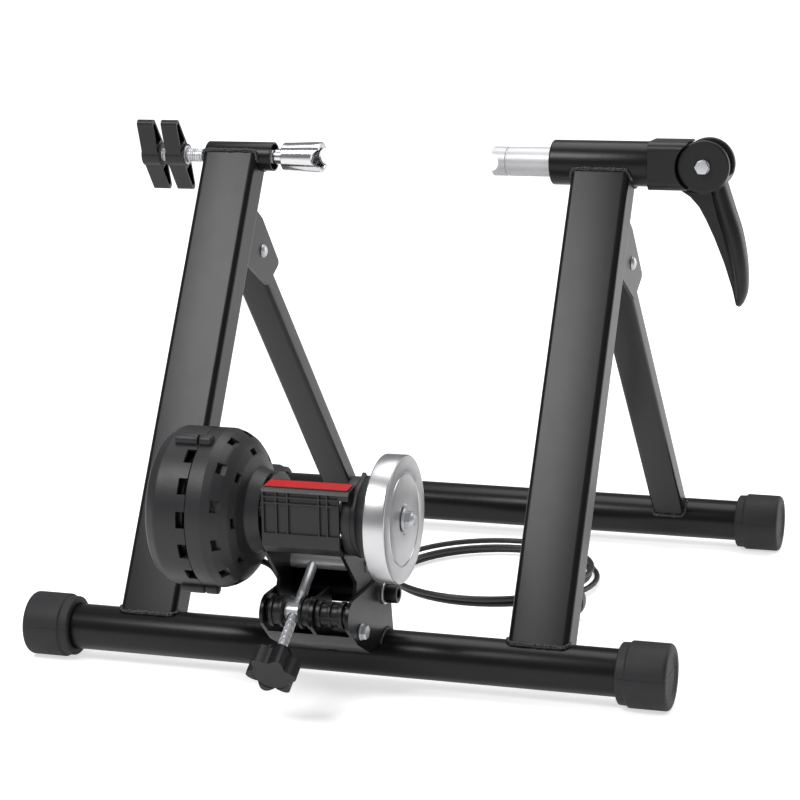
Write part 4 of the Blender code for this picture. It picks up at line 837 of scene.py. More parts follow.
plastic = surface("moulded_plastic", "black_plastic", (0.010, 0.010, 0.011), 0, 0.38, 800, 0.00016, 0.4)
chrome = surface("polished_chrome", "polished_steel", (0.66, 0.66, 0.67), 1, 0.15, 120, 0.000006)
silver = surface("satin_silver", "cast_aluminium", (0.62, 0.62, 0.63), 0.4, 0.42, 900, 0.00005)
tube_length = LEFT_TUBE[1] - LEFT_TUBE[0]
tube_line = [
    (CLAMP_R, 0, 0.001),
    (CLAMP_R, tube_length, 0.0004),
    (CLAMP_R - WALL, tube_length, 0.0004),
    (CLAMP_R - WALL, 0.016, 0.002),
    (SCREW_R + SLIDING, 0.016, 0.0004),
    (SCREW_R + SLIDING, 0, 0.0006),
]
stock = turned(rounded(tube_line), AXLE + X * LEFT_TUBE[0], X)
piece("left_axle_tube", shaded(stock), paint, "fixed_frame", "left_clamp_tube")
screw_low, shoulder = AXLE + X * SCREW_LOW, AXLE + X * SCREW_SHOULDER
shank = threaded(screw_low, shoulder, SCREW_R, CLAMP_PITCH, zinc)
spigot = bar(shoulder, -0.001, 0.018, SPIGOT_R, 0.0004)
piece("left_screw_rod", shaded(together(shank, spigot)), zinc, "left_screw", "clamp_screw")
cup_length = CUP_END - CUP_NECK
cup_line = [
    (0, cup_length - CUP_DEPTH),
    (CUP_BORE_R, cup_length - CUP_DEPTH, 0.001),
    (CUP_BORE_R, cup_length, 0.0007),
    (CUP_RIM_R, cup_length, 0.0009),
    (CUP_RIM_R, cup_length - 0.006, 0.002),
    (CUP_R, 0.0140, 0.002),
    (CUP_R, 0.0087, 0.0012),
    (0.007, 0.0087, 0.0015),
    (0.007, 0, 0.0006),
    (SPIGOT_R + GAP, 0, 0.0003),
    (SPIGOT_R + GAP, 0.019),
    (0, 0.019),
]


def notched_cup(name, line, start, mouth, finish, body, stands_for):
    """A turned cup whose open end has a rounded slot across it."""
    slot = rod(mouth - Y * 0.03, mouth + Y * 0.03, NOTCH_R)
    cup = worked(turned(rounded(line, steps=4), start, X), cut=(slot,), edge=0.0004, angle=40)
    piece(name, cup, finish, body, stands_for)


left_mouth = AXLE + X * (CUP_END + 0.001)
notched_cup("left_cup", cup_line, AXLE + X * CUP_NECK, left_mouth, chrome, "left_cup", "left_axle_cup")

# Winged knobs: two moulded black plastic handles, hollowed on the side that faces the
# frame. The outer one is pressed on the screw; the inner one is a lock nut on an insert.
WING_REACH = 0.0363
WING_THICK = 0.015
WING_HUB_R = 0.010
WING_TIP_R = 0.0038
WING_TILT = math.radians(28)
LOCK_WING = -0.231
INSERT_R = 0.0085
WELL = ((0.0052, 0.0122), (0.0020, 0.0322), (-0.0020, 0.0322), (-0.0052, 0.0122))


def arc(centre, radius, start, end, steps):
    """Points along an arc, in degrees."""
    angles = [math.radians(start + (end - start) * i / steps) for i in range(steps + 1)]
    return [(centre[0] + radius * math.cos(a), centre[1] + radius * math.sin(a)) for a in angles]


def tilted(points):
    """(y, z) of a knob's points, turned about the screw's axis."""
    c, s = math.cos(WING_TILT), math.sin(WING_TILT)
    return [(AXLE.y + c * u - s * v, AXLE.z + s * u + c * v) for u, v in points]


def wing_outline(hub, tip, reach):
    """Two tapered wings about a hub."""
    far = reach - tip
    slope = math.degrees(math.asin((hub - tip) / far))
    flat = []
    for turn in (90, 270):
        centre = (far * math.cos(math.radians(turn)), far * math.sin(math.radians(turn)))
        flat += arc(centre, tip, turn - 90 + slope, turn + 90 - slope, 12)
        flat += arc((0, 0), hub, turn + 90 - slope, turn + 90 + slope, 6)
    return tilted(flat)


def wing_knob(name, low, hub_right, bore, bore_start, body, stands_for):
    """One winged knob with a pocket in each wing."""
    high = low + WING_THICK
    hub = bar(AXLE, low - 0.0009, high + hub_right, WING_HUB_R)
    cuts = [bar(AXLE, low + bore_start, high + 0.02, bore)]
    for sign, corners in ((1, WELL), (-1, WELL[::-1])):
        well = rounded([(u, sign * v) for u, v in corners], 0.0011, 4)
        cuts.append(side_slab(tilted(well), low + 0.0035, high + 0.002))
    stock = side_slab(wing_outline(WING_HUB_R - 0.001, WING_TIP_R, WING_REACH), low, high)
    knob = worked(stock, joined=(hub,), cut=cuts, edge=0.0008, rows=3, angle=40)
    piece(name, knob, plastic, body, stands_for)


outer_bore, lock_bore = SCREW_R + GAP, INSERT_R + GAP
wing_knob("outer_wing", OUTER_WING, 0.001, outer_bore, 0.003, "left_screw", "adjuster_wing_knob")
wing_knob("lock_wing", LOCK_WING, 0.002, lock_bore, -0.02, "lock_wing", "lock_wing_nut")
insert_line = [
    (INSERT_R, 0),
    (INSERT_R, WING_THICK + 0.004),
    (SCREW_R + SLIDING, WING_THICK + 0.004),
    (SCREW_R + SLIDING, 0),
]
stock = turned(rounded(insert_line, 0.0007, 3), AXLE + X * (LOCK_WING - 0.0015), X, 72)
piece("lock_insert_sleeve", shaded(stock), zinc, "lock_insert", "lock_nut_insert")

# Right clamp: a welded tube of 38 mm steel with a bright sleeve that slides in it. A
# spring holds the sleeve back, and the cam lever pushes it out against the axle nut.
CAM_TUBE = (0.123, 0.208)
SLEEVE_END = 0.071
SLEEVE_FLANGE = 0.146
FLANGE_R = 0.0172
FLANGE_THICK = 0.004
RING_AT = 0.012
length = CAM_TUBE[1] - CAM_TUBE[0]
tube_line = [
    (CAM_TUBE_R, 0, 0.0018),
    (CAM_TUBE_R, length, 0.0004),
    (CAM_TUBE_R - WALL, length, 0.0004),
    (CAM_TUBE_R - WALL, 0.004, 0.0004),
    (CUP_R + SLIDING, 0.004, 0.0003),
    (CUP_R + SLIDING, 0, 0.0005),
]
stock = turned(rounded(tube_line, steps=4), AXLE + X * CAM_TUBE[0], X, 112)
piece("right_axle_tube", shaded(stock), paint, "fixed_frame", "right_clamp_tube")
flange = SLEEVE_FLANGE - SLEEVE_END
sleeve_line = [
    (0, CUP_DEPTH),
    (CUP_BORE_R, CUP_DEPTH, 0.001),
    (CUP_BORE_R, 0, 0.0005),
    (CUP_R, 0, 0.0009),
    (CUP_R, RING_AT, 0.0002),
    (CUP_R - 0.0008, RING_AT + 0.0005, 0.0002),
    (CUP_R - 0.0008, RING_AT + 0.0015, 0.0002),
    (CUP_R, RING_AT + 0.002, 0.0002),
    (CUP_R, flange, 0.0003),
    (FLANGE_R, flange, 0.0006),
    (FLANGE_R, flange + FLANGE_THICK, 0.0006),
    (0, flange + FLANGE_THICK),
]
start = AXLE + X * SLEEVE_END
mouth = start - X * 0.001
notched_cup("sliding_sleeve", sleeve_line, start, mouth, silver, "right_sleeve", "right_sleeve")
for name in ("cam_pushrod", "cam_return_spring"):
    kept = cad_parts[name]
    kept.data.materials.clear()
    kept.data.materials.append(zinc)

# Cam housing: a moulded nylon block with a spigot in the tube's end. It has two cheeks
# for the lever's pin and a hollow that the round cams turn in.
CAM_X = 0.254
CAM_DISC_R = 0.022
CAM_LOW_R = 0.010
CAM_RISE = 0.0105
CAM_TURN = 95
BLOCK_HALF = 0.0203
BLOCK_END = 0.241
DISC_IN, DISC_OUT = 0.0090, 0.0150
CAM_PIN_R = 0.004
BLOCK_SPIGOT_R = 0.0172
TONGUES = ((0.0033, 0.0085), (-0.0085, -0.0033))
VOXEL = 0.0007


def front_slab(outline, low, high):
    """A slab whose outline is (x, z) and whose thickness runs from y = low to high."""
    place = Matrix(((1, 0, 0, 0), (0, 0, -1, (low + high) / 2), (0, 1, 0, 0), (0, 0, 0, 1)))
    return slab(outline, place, high - low)


block_low = CAM_TUBE[1] + GAP
block_square = rectangle(2 * BLOCK_HALF, 2 * BLOCK_HALF, 0.0075)
block_line = [(AXLE.y + u, AXLE.z + v) for u, v in block_square]
spigot = bar(AXLE, CAM_TUBE[1] - 0.014, block_low + 0.006, BLOCK_SPIGOT_R)
cam_centre = Vector((CAM_X, AXLE.y, AXLE.z))
cam_axis = (CAM_X, AXLE.z)
room = rod(cam_centre - Y * 0.0225, cam_centre + Y * 0.0225, CAM_DISC_R + 0.0006, sides=96)
rod_way = bar(AXLE, CAM_TUBE[1] - 0.03, 0.2446, 0.0054)
stock = side_slab(block_line, block_low, BLOCK_END)
base = worked(stock, cut=(room,), edge=0.0014, rows=4, angle=60)
nose = arc(cam_axis, 0.010, -90, 84, 20) + arc(cam_axis, 0.0200, 94, 148, 12)
nose += [(0.226, AXLE.z + 0.0106), (0.226, AXLE.z - 0.010)]
tongues = [front_slab(nose, AXLE.y + low, AXLE.y + high) for low, high in TONGUES]
pin_way = rod(cam_centre - Y * 0.03, cam_centre + Y * 0.03, CAM_PIN_R + GAP)
holder = worked(base, joined=(spigot, *tongues), cut=(pin_way, rod_way))
piece("cam_block", shaded(holder, 28), plastic, "fixed_frame", "cam_housing")


def polar(degrees, radius):
    """A point about the lever's pin, in front view."""
    turn = math.radians(degrees)
    return (CAM_X + radius * math.cos(turn), AXLE.z + radius * math.sin(turn))


lobe = [polar(a, CAM_DISC_R) for a in range(-100, -19, 5)]
cam_line = [polar(-100, CAM_LOW_R), *lobe]
cam_line += [polar(a, CAM_LOW_R) for a in range(-20, 180 - CAM_TURN, 5)]
for i in range(25):
    cam_line.append(polar(180 - CAM_TURN * (1 - i / 24), CAM_LOW_R + CAM_RISE * i / 24))
cam_line += [polar(a, CAM_LOW_R + CAM_RISE) for a in (186, 192, 199, 205)]
cam_line += [polar(a, CAM_LOW_R) for a in range(214, 255, 5)]
middle_cam = front_slab(cam_line, AXLE.y - 0.003, AXLE.y + 0.003)
root_line = lobe + [polar(a, CAM_LOW_R + 0.0006) for a in range(-20, -101, -5)]
root =front_slab(root_line, AXLE.y - DISC_OUT, AXLE.y + DISC_OUT)
discs = []
for sign in (-1, 1):
    near, far = cam_centre + Y * sign * DISC_IN, cam_centre + Y * sign * DISC_OUT
    discs.append(rod(near, far, CAM_DISC_R, 0.0008, sides=96))
WEB_LINE = (
    (-0.0205, -0.0213),
    (-0.0125, -0.0262),
    (-0.0050, -0.0345),
    (0.0010, -0.0452),
    (0.0080, -0.0600),
    (0.0165, -0.0810),
    (0.0236, -0.1030),
    (0.0268, -0.1165),
    (0.0296, -0.1165),
    (0.0310, -0.1000),
    (0.0290, -0.0800),
    (0.0230, -0.0550),
    (0.0160, -0.0350),
    (0.0120, -0.0213),
)
web_line = [(CAM_X + x, AXLE.z + z) for x, z in WEB_LINE]
web = front_slab(web_line, AXLE.y - 0.0055, AXLE.y + 0.0055)
# Each station of the handle: its place from the pin, and its two half sizes
HANDLE = (
    (0.0110, -0.0150, 0.0070, 0.0130),
    (0.0165, -0.0350, 0.0080, 0.0132),
    (0.0235, -0.0570, 0.0082, 0.0130),
    (0.0285, -0.0800, 0.0074, 0.0118),
    (0.0306, -0.1000, 0.0060, 0.0098),
    (0.0300, -0.1090, 0.0048, 0.0078),
    (0.0288, -0.1155, 0.0028, 0.0046),
    (0.0280, -0.1180, 0.0010, 0.0016),
)
FINE = 5
rows = []
for k in range((len(HANDLE) - 1) * FINE + 1):
    i = min(k // FINE, len(HANDLE) - 2)
    t = k / FINE - i
    p = [Vector(HANDLE[min(max(i + n, 0), len(HANDLE) - 1)]) for n in (-1, 0, 1, 2)]
    curve = 2 * p[1] + (p[2] - p[0]) * t + (2 * p[0] - 5 * p[1] + 4 * p[2] - p[3]) * t * t
    rows.append((curve + (3 * p[1] - p[0] - 3 * p[2] + p[3]) * t**3) / 2)
shape = bmesh.new()
rings = []
for k, (x, z, half_x, half_y) in enumerate(rows):
    before, after = rows[max(k - 1, 0)], rows[min(k + 1, len(rows) - 1)]
    run = Vector((after[0] - before[0], 0, after[1] - before[1])).normalized()
    out = Vector((-run.z, 0, run.x))
    centre = cam_centre + X * x + Z * z
    ring = []
    for i in range(40):
        a = 2 * math.pi * i / 40
        ring.append(shape.verts.new(centre + out * half_x * math.cos(a) + Y * half_y * math.sin(a)))
    rings.append(ring)
for low, high in zip(rings, rings[1:]):
    for i in range(40):
        shape.faces.new((low[i], low[(i + 1) % 40], high[(i + 1) % 40], high[i]))
shape.faces.new(rings[0][::-1])
shape.faces.new(rings[-1])
handle = finished(shape, "handle")
solid_lever = worked(middle_cam, joined=(root, *discs, web, handle), cut=(pin_way,))
work = placed("work", solid_lever)
fused = work.modifiers.new("fused", "REMESH")
fused.mode = "VOXEL"
fused.voxel_size = VOXEL
ease = work.modifiers.new("ease", "SMOOTH")
ease.factor = 0.5
ease.iterations = 5
lever = evaluated_mesh(work)
lever.shade_smooth()
piece("cam_handle", lever, plastic, "cam_lever", "cam_lever")
pin = [rod(cam_centre - Y * (DISC_OUT + 0.001), cam_centre + Y * (DISC_OUT + 0.001), CAM_PIN_R)]
for sign in (-1, 1):
    seat = cam_centre + Y * sign * (DISC_OUT + GAP)
    pin.append(rod(seat, seat + Y * sign * 0.0008, 0.0060, 0.0002, sides=48))
    pin.append(rod(seat + Y * sign * 0.0006, seat + Y * sign * 0.0050, 0.0062, 0.0005, sides=6))
piece("cam_bolt", shaded(together(*pin)), zinc, "fixed_frame", "cam_pin")

# Base bracket: three ears cut from 3 mm sheet on a floor that is welded on the front tube.
# A bolt through its rear holes carries the resistance unit's arm.
SPIN = Vector((0, -0.060, 0.155))
PIVOT = Vector((0, -0.002, 0.077))
NUT = Vector((0, -0.073, 0.078))
EARS = ((-0.034, -0.031), (0.007, 0.010), (0.037, 0.040))
EAR_R = 0.0145
PIVOT_BOLT_R = 0.005
ear_line = arc((PIVOT.y, PIVOT.z), EAR_R, 20, 90, 14)
ear_line += arc((NUT.y, NUT.z - 0.0015), EAR_R, 90, 205, 22)
ear_line += [(-0.0665, 0.0525), (-0.0380, 0.0372), (-0.010, 0.0372)]
ear_line += [(0, 0.020), (0.019, 0.026), (0.0185, 0.040)]
floor_line = [
    (-0.110, 0.0790),
    (-0.0655, 0.0560),
    (-0.0370, 0.0408),
    (0.050, 0.0408),
    (0.050, 0.120),
    (-0.110, 0.120),
]
bays = [side_slab(floor_line, EARS[0][1], EARS[1][0]), side_slab(floor_line, EARS[1][1], EARS[2][0])]
rear_of_ear = block((0.004, -0.042, 0.0310), (0.013, 0.05, 0.13))
pivot_way = bar(PIVOT, -0.06, 0.06, PIVOT_BOLT_R + SLIDING)
stock = side_slab(ear_line, EARS[0][0], EARS[2][1])
bracket = worked(stock, cut=(*bays, base_cope(0), rear_of_ear, pivot_way), edge=0.0005, angle=40)
piece("ear_bracket", bracket, paint, "fixed_frame", "pivot_bracket")
WELD_LINE_R = 0.0200
seams = []
for k, x in enumerate((EARS[0][0] - 0.0004, EARS[2][1] + 0.0004)):
    seam_line = []
    for step in range(-17, 18):
        turn = step / 20
        seam_line.append((x, WELD_LINE_R * math.sin(turn), BASE_Z + WELD_LINE_R * math.cos(turn)))
    seams.append(welded(seam_line, 0.0017, 0.0015, 21 + k, closed=False))
piece("bracket_welds", together(*seams), weld_paint, "fixed_frame")
head = EARS[2][1] + 0.0021
bolt = [
    bar(PIVOT, EARS[0][0] - 0.004, head + 0.001, PIVOT_BOLT_R),
    bar(PIVOT, EARS[0][0] - 0.0045, EARS[0][0] - GAP, 0.0085, 0.0006, sides=6),
]
socket = bar(PIVOT, head + 0.005, head + 0.02, 0.0046, sides=6)
cap = worked(bar(PIVOT, head, head + 0.010, 0.008, 0.0009, sides=72), cut=(socket,))
dark_bolt = surface("black_oxide", "black_paint", (0.014, 0.014, 0.015), 0.6, 0.34, 500, 0.0001)
piece("pivot_cap_bolt", shaded(together(*bolt, cap)), dark_bolt, "fixed_frame", "unit_pivot_bolt")


def ring(outer, inner, start, end, edge, sides=72):
    """A plain ring with its edges broken, between two points on its axis."""
    start, end = Vector(start), Vector(end)
    length = (end - start).length
    profile = rounded([(outer, 0), (outer, length), (inner, length), (inner, 0)], edge, 3)
    return shaded(turned(profile, start, end - start, sides))


washer_at = PIVOT + X * (EARS[2][1] + GAP)
washer = ring(0.0095, PIVOT_BOLT_R + GAP, washer_at, washer_at + X * 0.0015, 0.0003)
piece("bright_washer", washer, zinc, "fixed_frame", "pivot_washer")
screw_at = Vector((EARS[2][1] + GAP, -0.0595, 0.0615))
ear_bolt = [
    rod(screw_at, screw_at + X * 0.0012, 0.0066, 0.0003, sides=48),
    bar(screw_at, 0.001, 0.0055, 0.0058, 0.0006, sides=6),
]
piece("ear_hex_screw", shaded(together(*ear_bolt)), zinc, "fixed_frame", "ear_screw")

# Unit arm: two pressed steel cheeks, a web and a pivot tube, welded and painted black. It
# swings on the bracket's bolt and carries the roller, the magnets and the housing.
CHEEKS = ((-0.0305, -0.0275), (0.0335, 0.0365))
BEARING_R = 0.014
BAR = Vector((0, -0.028, 0.107))
BAR_R = 0.0062
cheek_line = arc((SPIN.y, SPIN.z), 0.018, 10, 200, 30)
cheek_line += [(-0.0835, 0.128), (-0.0560, 0.1000), (-0.0600, 0.0870)]
cheek_line += arc((PIVOT.y, PIVOT.z), 0.0125, 255, 390, 22)
web_low = Vector((0, 0.0060, 0.0700))
web_high = Vector((0, -0.0290, 0.1280))
aside = (web_high - web_low).normalized().cross(X) * 0.00125
web_line = [web_low + aside, web_high + aside, web_high - aside, web_low - aside]
between = (CHEEKS[0][0] + 0.001, CHEEKS[1][1] - 0.001)
arm = worked(
    side_slab(cheek_line, *CHEEKS[0]),
    joined=(
        side_slab(cheek_line, *CHEEKS[1]),
        bar(PIVOT, *between, 0.010),
        side_slab([(p.y, p.z) for p in web_line], *between),
    ),
    cut=(
        bar(SPIN, -0.06, 0.06, BEARING_R + GAP),
        pivot_way,
        bar(BAR, -0.06, 0.06, BAR_R + SLIDING),
    ),
    edge=0.0005,
    angle=40,
)
piece("arm", arm, paint, "unit", "unit_arm")

# Roller, axle and bearings: a steel roller that the tyre drives, on a 12 mm axle which
# runs in two sealed bearings and carries the flywheel and the braked disc.
AXLE_R = 0.006
WHEEL_SPAN = (0.060, 0.078)
DISC_SPAN = (-0.0895, -0.0845)


def turning_marks(finish, centre, scale, depth):
    """Adds the fine rings that a lathe tool leaves round an axis along X."""
    tree = finish.node_tree
    place = add_node(tree, "ShaderNodeTexCoord")
    offset = add_node(tree, "ShaderNodeVectorMath", {1: centre}, operation="SUBTRACT")
    flat = add_node(tree, "ShaderNodeVectorMath", {1: (0, 1, 1)}, operation="MULTIPLY")
    reach = add_node(tree, "ShaderNodeVectorMath", operation="LENGTH")
    lines = add_node(tree, "ShaderNodeTexNoise", {"Scale": scale, "Detail": 2}, noise_dimensions="1D")
    rings = add_node(tree, "ShaderNodeBump", {"Strength": 0.7, "Distance": depth})
    wire(
        tree,
        (place, "Object", offset, 0),
        (offset, 0, flat, 0),
        (flat, 0, reach, 0),
        (reach, "Value", lines, "W"),
        (lines, "Fac", rings, "Height"),
        (tree.nodes["relief"], "Normal", rings, "Normal"),
        (rings, "Normal", tree.nodes["Principled BSDF"], "Normal"),
    )


tread = surface("roller_tread", "roller_steel", (0.42, 0.42, 0.43), 1, 0.42, 1500, 0.0004)
wheel_steel = surface("turned_steel", "polished_steel", (0.62, 0.62, 0.63), 1, 0.3, 300, 0.000006)
turning_marks(wheel_steel, HOME + SPIN, 2600, 0.000015)
axle_bar = bar(SPIN, -0.110, WHEEL_SPAN[1] + 0.0015, AXLE_R, 0.0006)
piece("unit_shaft", shaded(axle_bar), zinc, "roller_set", "unit_axle")
roll = ring(0.015, AXLE_R + GAP, SPIN - X * 0.0245, SPIN + X * 0.0295, 0.0013, 96)
piece("tyre_roller", roll, tread, "roller_set", "roller")
for side, middle in (("left", -0.029), ("right", 0.035)):
    low, high = SPIN + X * (middle - 0.004), SPIN + X * (middle + 0.004)
    races = [
        ring(BEARING_R, 0.0118, low, high, 0.0005),
        ring(0.0116, 0.0084, low + X * 0.0006, high - X * 0.0006, 0.0002),
        ring(0.0082, AXLE_R + GAP, low, high, 0.0004),
    ]
    piece(f"{side}_sealed_bearing", shaded(together(*races)), zinc, "unit", f"{side}_bearing")

# Flywheel: a turned steel disc, 100 mm across and 18 mm thick, with a groove in its face,
# held on the axle by a flanged nut with a domed end.
WHEEL_R = 0.050
GROOVE_R = 0.036
thick = WHEEL_SPAN[1] - WHEEL_SPAN[0]
wheel_line = [
    (AXLE_R + GAP, 0, 0.0004),
    (0.016, 0, 0.0003),
    (0.017, 0.001, 0.0003),
    (WHEEL_R, 0.001, 0.0012),
    (WHEEL_R, thick, 0.0012),
    (GROOVE_R + 0.0007, thick, 0.0003),
    (GROOVE_R + 0.0004, thick - 0.0008, 0.0002),
    (GROOVE_R - 0.0004, thick - 0.0008, 0.0002),
    (GROOVE_R - 0.0007, thick, 0.0003),
    (0.0120, thick, 0.0002),
    (0.0115, thick - 0.0004, 0.0002),
    (AXLE_R + GAP, thick - 0.0004, 0.0003),
]
wheel = turned(rounded(wheel_line, steps=4), SPIN + X * WHEEL_SPAN[0], X, 160)
piece("fly_wheel", shaded(wheel, 28), wheel_steel, "roller_set", "flywheel")
nut_at = SPIN + X * WHEEL_SPAN[1]
dome = [(0, 0), (0.0058, 0), (0.0056, 0.0012), (0.0046, 0.0024), (0.0028, 0.0032), (0, 0.0036)]
wheel_nut = [
    bar(nut_at, GAP, 0.0022, 0.0100, 0.0004, sides=64),
    bar(nut_at, 0.0020, 0.0066, 0.0072, 0.0006, sides=6),
    turned(dome, nut_at + X * 0.0060, X, 48),
]
piece("domed_nut", shaded(together(*wheel_nut)), zinc, "roller_set", "flywheel_nut")

# Brake: a thick aluminium disc on the axle, and six magnets on a steel plate that the
# cable turns beside it. Both show only through the windows of the covers.
MAGNET_BORE_R = 0.0125
MAGNET_RING_R = 0.038


def about_spin(degrees, radius):
    """A point at an angle round the unit's spin axis."""
    turn = math.radians(degrees)
    return SPIN + radius * (Y * math.cos(turn) + Z * math.sin(turn))


magnet_grey = surface("magnet_grey", "magnet_grey", (0.16, 0.16, 0.17), 1, 0.45, 900, 0.0001)
# The aluminium disc is given a near-black colour: painted shade for the dark inside of the covers,
# which shows through their windows.
disc_painted_shade = surface("disc_painted_shade", "cast_aluminium", (0.09, 0.09, 0.095), 1, 0.5, 900, 0.0001)
low, high = (SPIN + X * x for x in DISC_SPAN)
disc = ring(0.054, AXLE_R + GAP, low, high, 0.0005, 120)
piece("drag_disc", disc, disc_painted_shade, "roller_set", "brake_disc")
plate = [ring(0.050, MAGNET_BORE_R, SPIN - X * 0.1025, SPIN - X * 0.0995, 0.0004, 96)]
for k in range(6):
    spot = about_spin(60 * k, MAGNET_RING_R)
    plate.append(bar(spot, -0.0998, -0.0925, 0.0083, 0.0005, sides=40))
piece("magnet_ring", shaded(together(*plate)), magnet_grey, "magnet_plate", "magnet_plate")

# Magnet covers: two moulded shells of dark grey plastic, screwed together at three lugs.
# The outer one has windows along its rim, and the inner dome has two rows of vents.
COVER_R = 0.063
COVER_WALL = 0.0025
COVER_LEFT = -0.117
COVER_SPLIT = -0.0790
INNER_LEFT = COVER_SPLIT + GAP
LUG_ANGLES = (113, 249, 0)
LUG_R = 0.005
shell = surface("cover_plastic", "grey_plastic", (0.023, 0.023, 0.025), 0, 0.42, 1100, 0.00018, 0.4)

row_of, sizes, result = tree_of("row_of_slots", {"Slot": "Vector", "Finish": "Material"})
place = add_node(row_of, "GeometryNodeInputPosition")
outward = add_node(row_of, "ShaderNodeVectorMath", {1: (0, 1, 1)}, operation="MULTIPLY")
aimed = add_node(row_of, "FunctionNodeAlignRotationToVector", axis="Y", pivot_axis="X")
one = add_node(row_of, "GeometryNodeMeshCube")
set_out = add_node(row_of, "GeometryNodeInstanceOnPoints")
solid = add_node(row_of, "GeometryNodeRealizeInstances")
coat = add_node(row_of, "GeometryNodeSetMaterial")
wire(
    row_of,
    (place, 0, outward, 0),
    (outward, 0, aimed, "Vector"),
    (sizes, "Slot", one, "Size"),
    (sizes, "Geometry", set_out, "Points"),
    (one, 0, set_out, "Instance"),
    (aimed, 0, set_out, "Rotation"),
    (set_out, 0, solid, 0),
    (solid, 0, coat, "Geometry"),
    (sizes, "Finish", coat, "Material"),
    (coat, 0, result, "Geometry"),
)


def slots(span, radii, width, degrees):
    """Blocks set out round the spin axis at the given angles, to cut vents with."""
    middle = (span[0] + span[1]) / 2
    radius = (radii[0] + radii[1]) / 2
    points = []
    for turn in map(math.radians, degrees):
        points.append((middle, radius * math.cos(turn), radius * math.sin(turn)))
    spots = bpy.data.meshes.new("spots")
    spots.from_pydata(points, [], [])
    size = (span[1] - span[0], radii[1] - radii[0], width)
    cutter = grown(spots, row_of, {"Slot": size, "Finish": shell})
    cutter.transform(Matrix.Translation(SPIN))
    return cutter


rim = COVER_SPLIT - COVER_LEFT
outer_line = [
    (0, 0),
    (COVER_R - 0.0130, 0, 0.006),
    (COVER_R - 0.0045, 0.0035, 0.007),
    (COVER_R, 0.0120, 0.006),
    (COVER_R, rim, 0.0004),
    (COVER_R - COVER_WALL, rim, 0.0004),
    (COVER_R - COVER_WALL, 0.0125, 0.005),
    (COVER_R - 0.0075, 0.0060, 0.005),
    (COVER_R - 0.0150, COVER_WALL, 0.005),
    (0.0122, COVER_WALL, 0.001),
    (0.0122, 0.0185, 0.0006),
    (0.0064, 0.0185, 0.0006),
    (0.0064, 0.0055),
    (0, 0.0055),
]
inner_line = [
    (COVER_R, 0, 0.0005),
    (COVER_R, 0.0125, 0.0012),
    (COVER_R - 0.0020, 0.0190, 0.012),
    (COVER_R - 0.0055, 0.0252, 0.010),
    (COVER_R - 0.0115, 0.0305, 0.010),
    (COVER_R - 0.0190, 0.0345, 0.010),
    (0.0340, 0.0372, 0.0012),
    (0.0306, 0.0479, 0.0006),
    (0.0281, 0.0479, 0.0004),
    (0.0313, 0.0352, 0.0012),
    (COVER_R - 0.0200, 0.0320, 0.010),
    (COVER_R - 0.0133, 0.0284, 0.010),
    (COVER_R - 0.0078, 0.0234, 0.010),
    (COVER_R - 0.0042, 0.0178, 0.010),
    (COVER_R - COVER_WALL, 0.0120, 0.010),
    (COVER_R - COVER_WALL, 0, 0.0004),
]
window_angles = [8 + 24 * k for k in range(15) if k not in (0, 4, 10)]
outer_angles = [a for a in range(15, 360, 30) if a != 285]
inner_angles = [a for a in range(0, 360, 45) if a != 270]
rim_radii = (COVER_R - 0.006, COVER_R + 0.006)
windows = slots((-0.0862, COVER_SPLIT + 0.004), rim_radii, 0.013, window_angles)
outer_row = slots((-0.068, -0.045), (COVER_R - 0.0070, COVER_R - 0.0025), 0.0095, outer_angles)
inner_row = slots((-0.060, -0.035), (0.0435, 0.0485), 0.0085, inner_angles)
cable_way = rod(CABLE_EXIT - CABLE_HEADING * 0.026, CABLE_EXIT + CABLE_HEADING * 0.004, 0.0058)
outer_lugs, inner_lugs = [], []
for angle in LUG_ANGLES:
    spot = about_spin(angle, COVER_R + 0.001)
    outer_lugs.append(bar(spot, -0.0990, -0.0802, LUG_R, 0.0008, sides=48))
    inner_lugs.append(bar(spot, -0.0786, -0.0688, LUG_R, 0.0008, sides=48))
outer_stock = turned(rounded(outer_line, steps=6), SPIN + X * COVER_LEFT, X, 144)
outer_shell = worked(outer_stock, joined=outer_lugs, cut=(windows,))
piece("outer_shell", shaded(outer_shell, 30), shell, "unit", "magnet_outer_cover")
inner_stock = turned(rounded(inner_line), SPIN + X * INNER_LEFT, X, 144)
inner_shell = worked(inner_stock, joined=inner_lugs, cut=(outer_row, inner_row, cable_way))
piece("inner_dome", shaded(inner_shell, 30), shell, "unit", "magnet_inner_cover")

# Roller housing: a moulded guard in front of the roller, with a ribbed recess in its face,
# a red strip on its top, a round right end and a separate ring beside the flywheel.
HOUSING = (-0.0272, 0.0440)
FACE_RIGHT = 0.0362
FRONT_Y = SPIN.y - 0.0325
GUARD_WALL = 0.0025
RIM_R = 0.031
RIM_BORE_R = 0.019
CELL_DEPTH = 0.0018
CELL_X = (
    (-0.0252, -0.0157),
    (-0.0145, -0.0064),
    (-0.0052, 0.0192),
    (0.0204, 0.0260),
    (0.0272, 0.0357),
)
CELL_Z = ((-0.0091, 0.0142), (0.0154, 0.0191), (0.0203, 0.0235))
shell_side = [
    (FRONT_Y, SPIN.z - 0.0195, 0.002),
    (FRONT_Y, SPIN.z + 0.0235, 0.0015),
    (FRONT_Y + 0.0025, SPIN.z + 0.0265, 0.0015),
    (FRONT_Y + 0.0215, SPIN.z + 0.0285, 0.0004),
    (FRONT_Y + 0.0215, SPIN.z + 0.0260, 0.0004),
    (FRONT_Y + 0.0040, SPIN.z + 0.0240, 0.001),
    (FRONT_Y + GUARD_WALL, SPIN.z + 0.0225, 0.001),
    (FRONT_Y + GUARD_WALL, SPIN.z - 0.0185, 0.001),
    (FRONT_Y + 0.0085, SPIN.z - 0.0235, 0.0004),
    (FRONT_Y + 0.0070, SPIN.z - 0.0260, 0.0004),
]
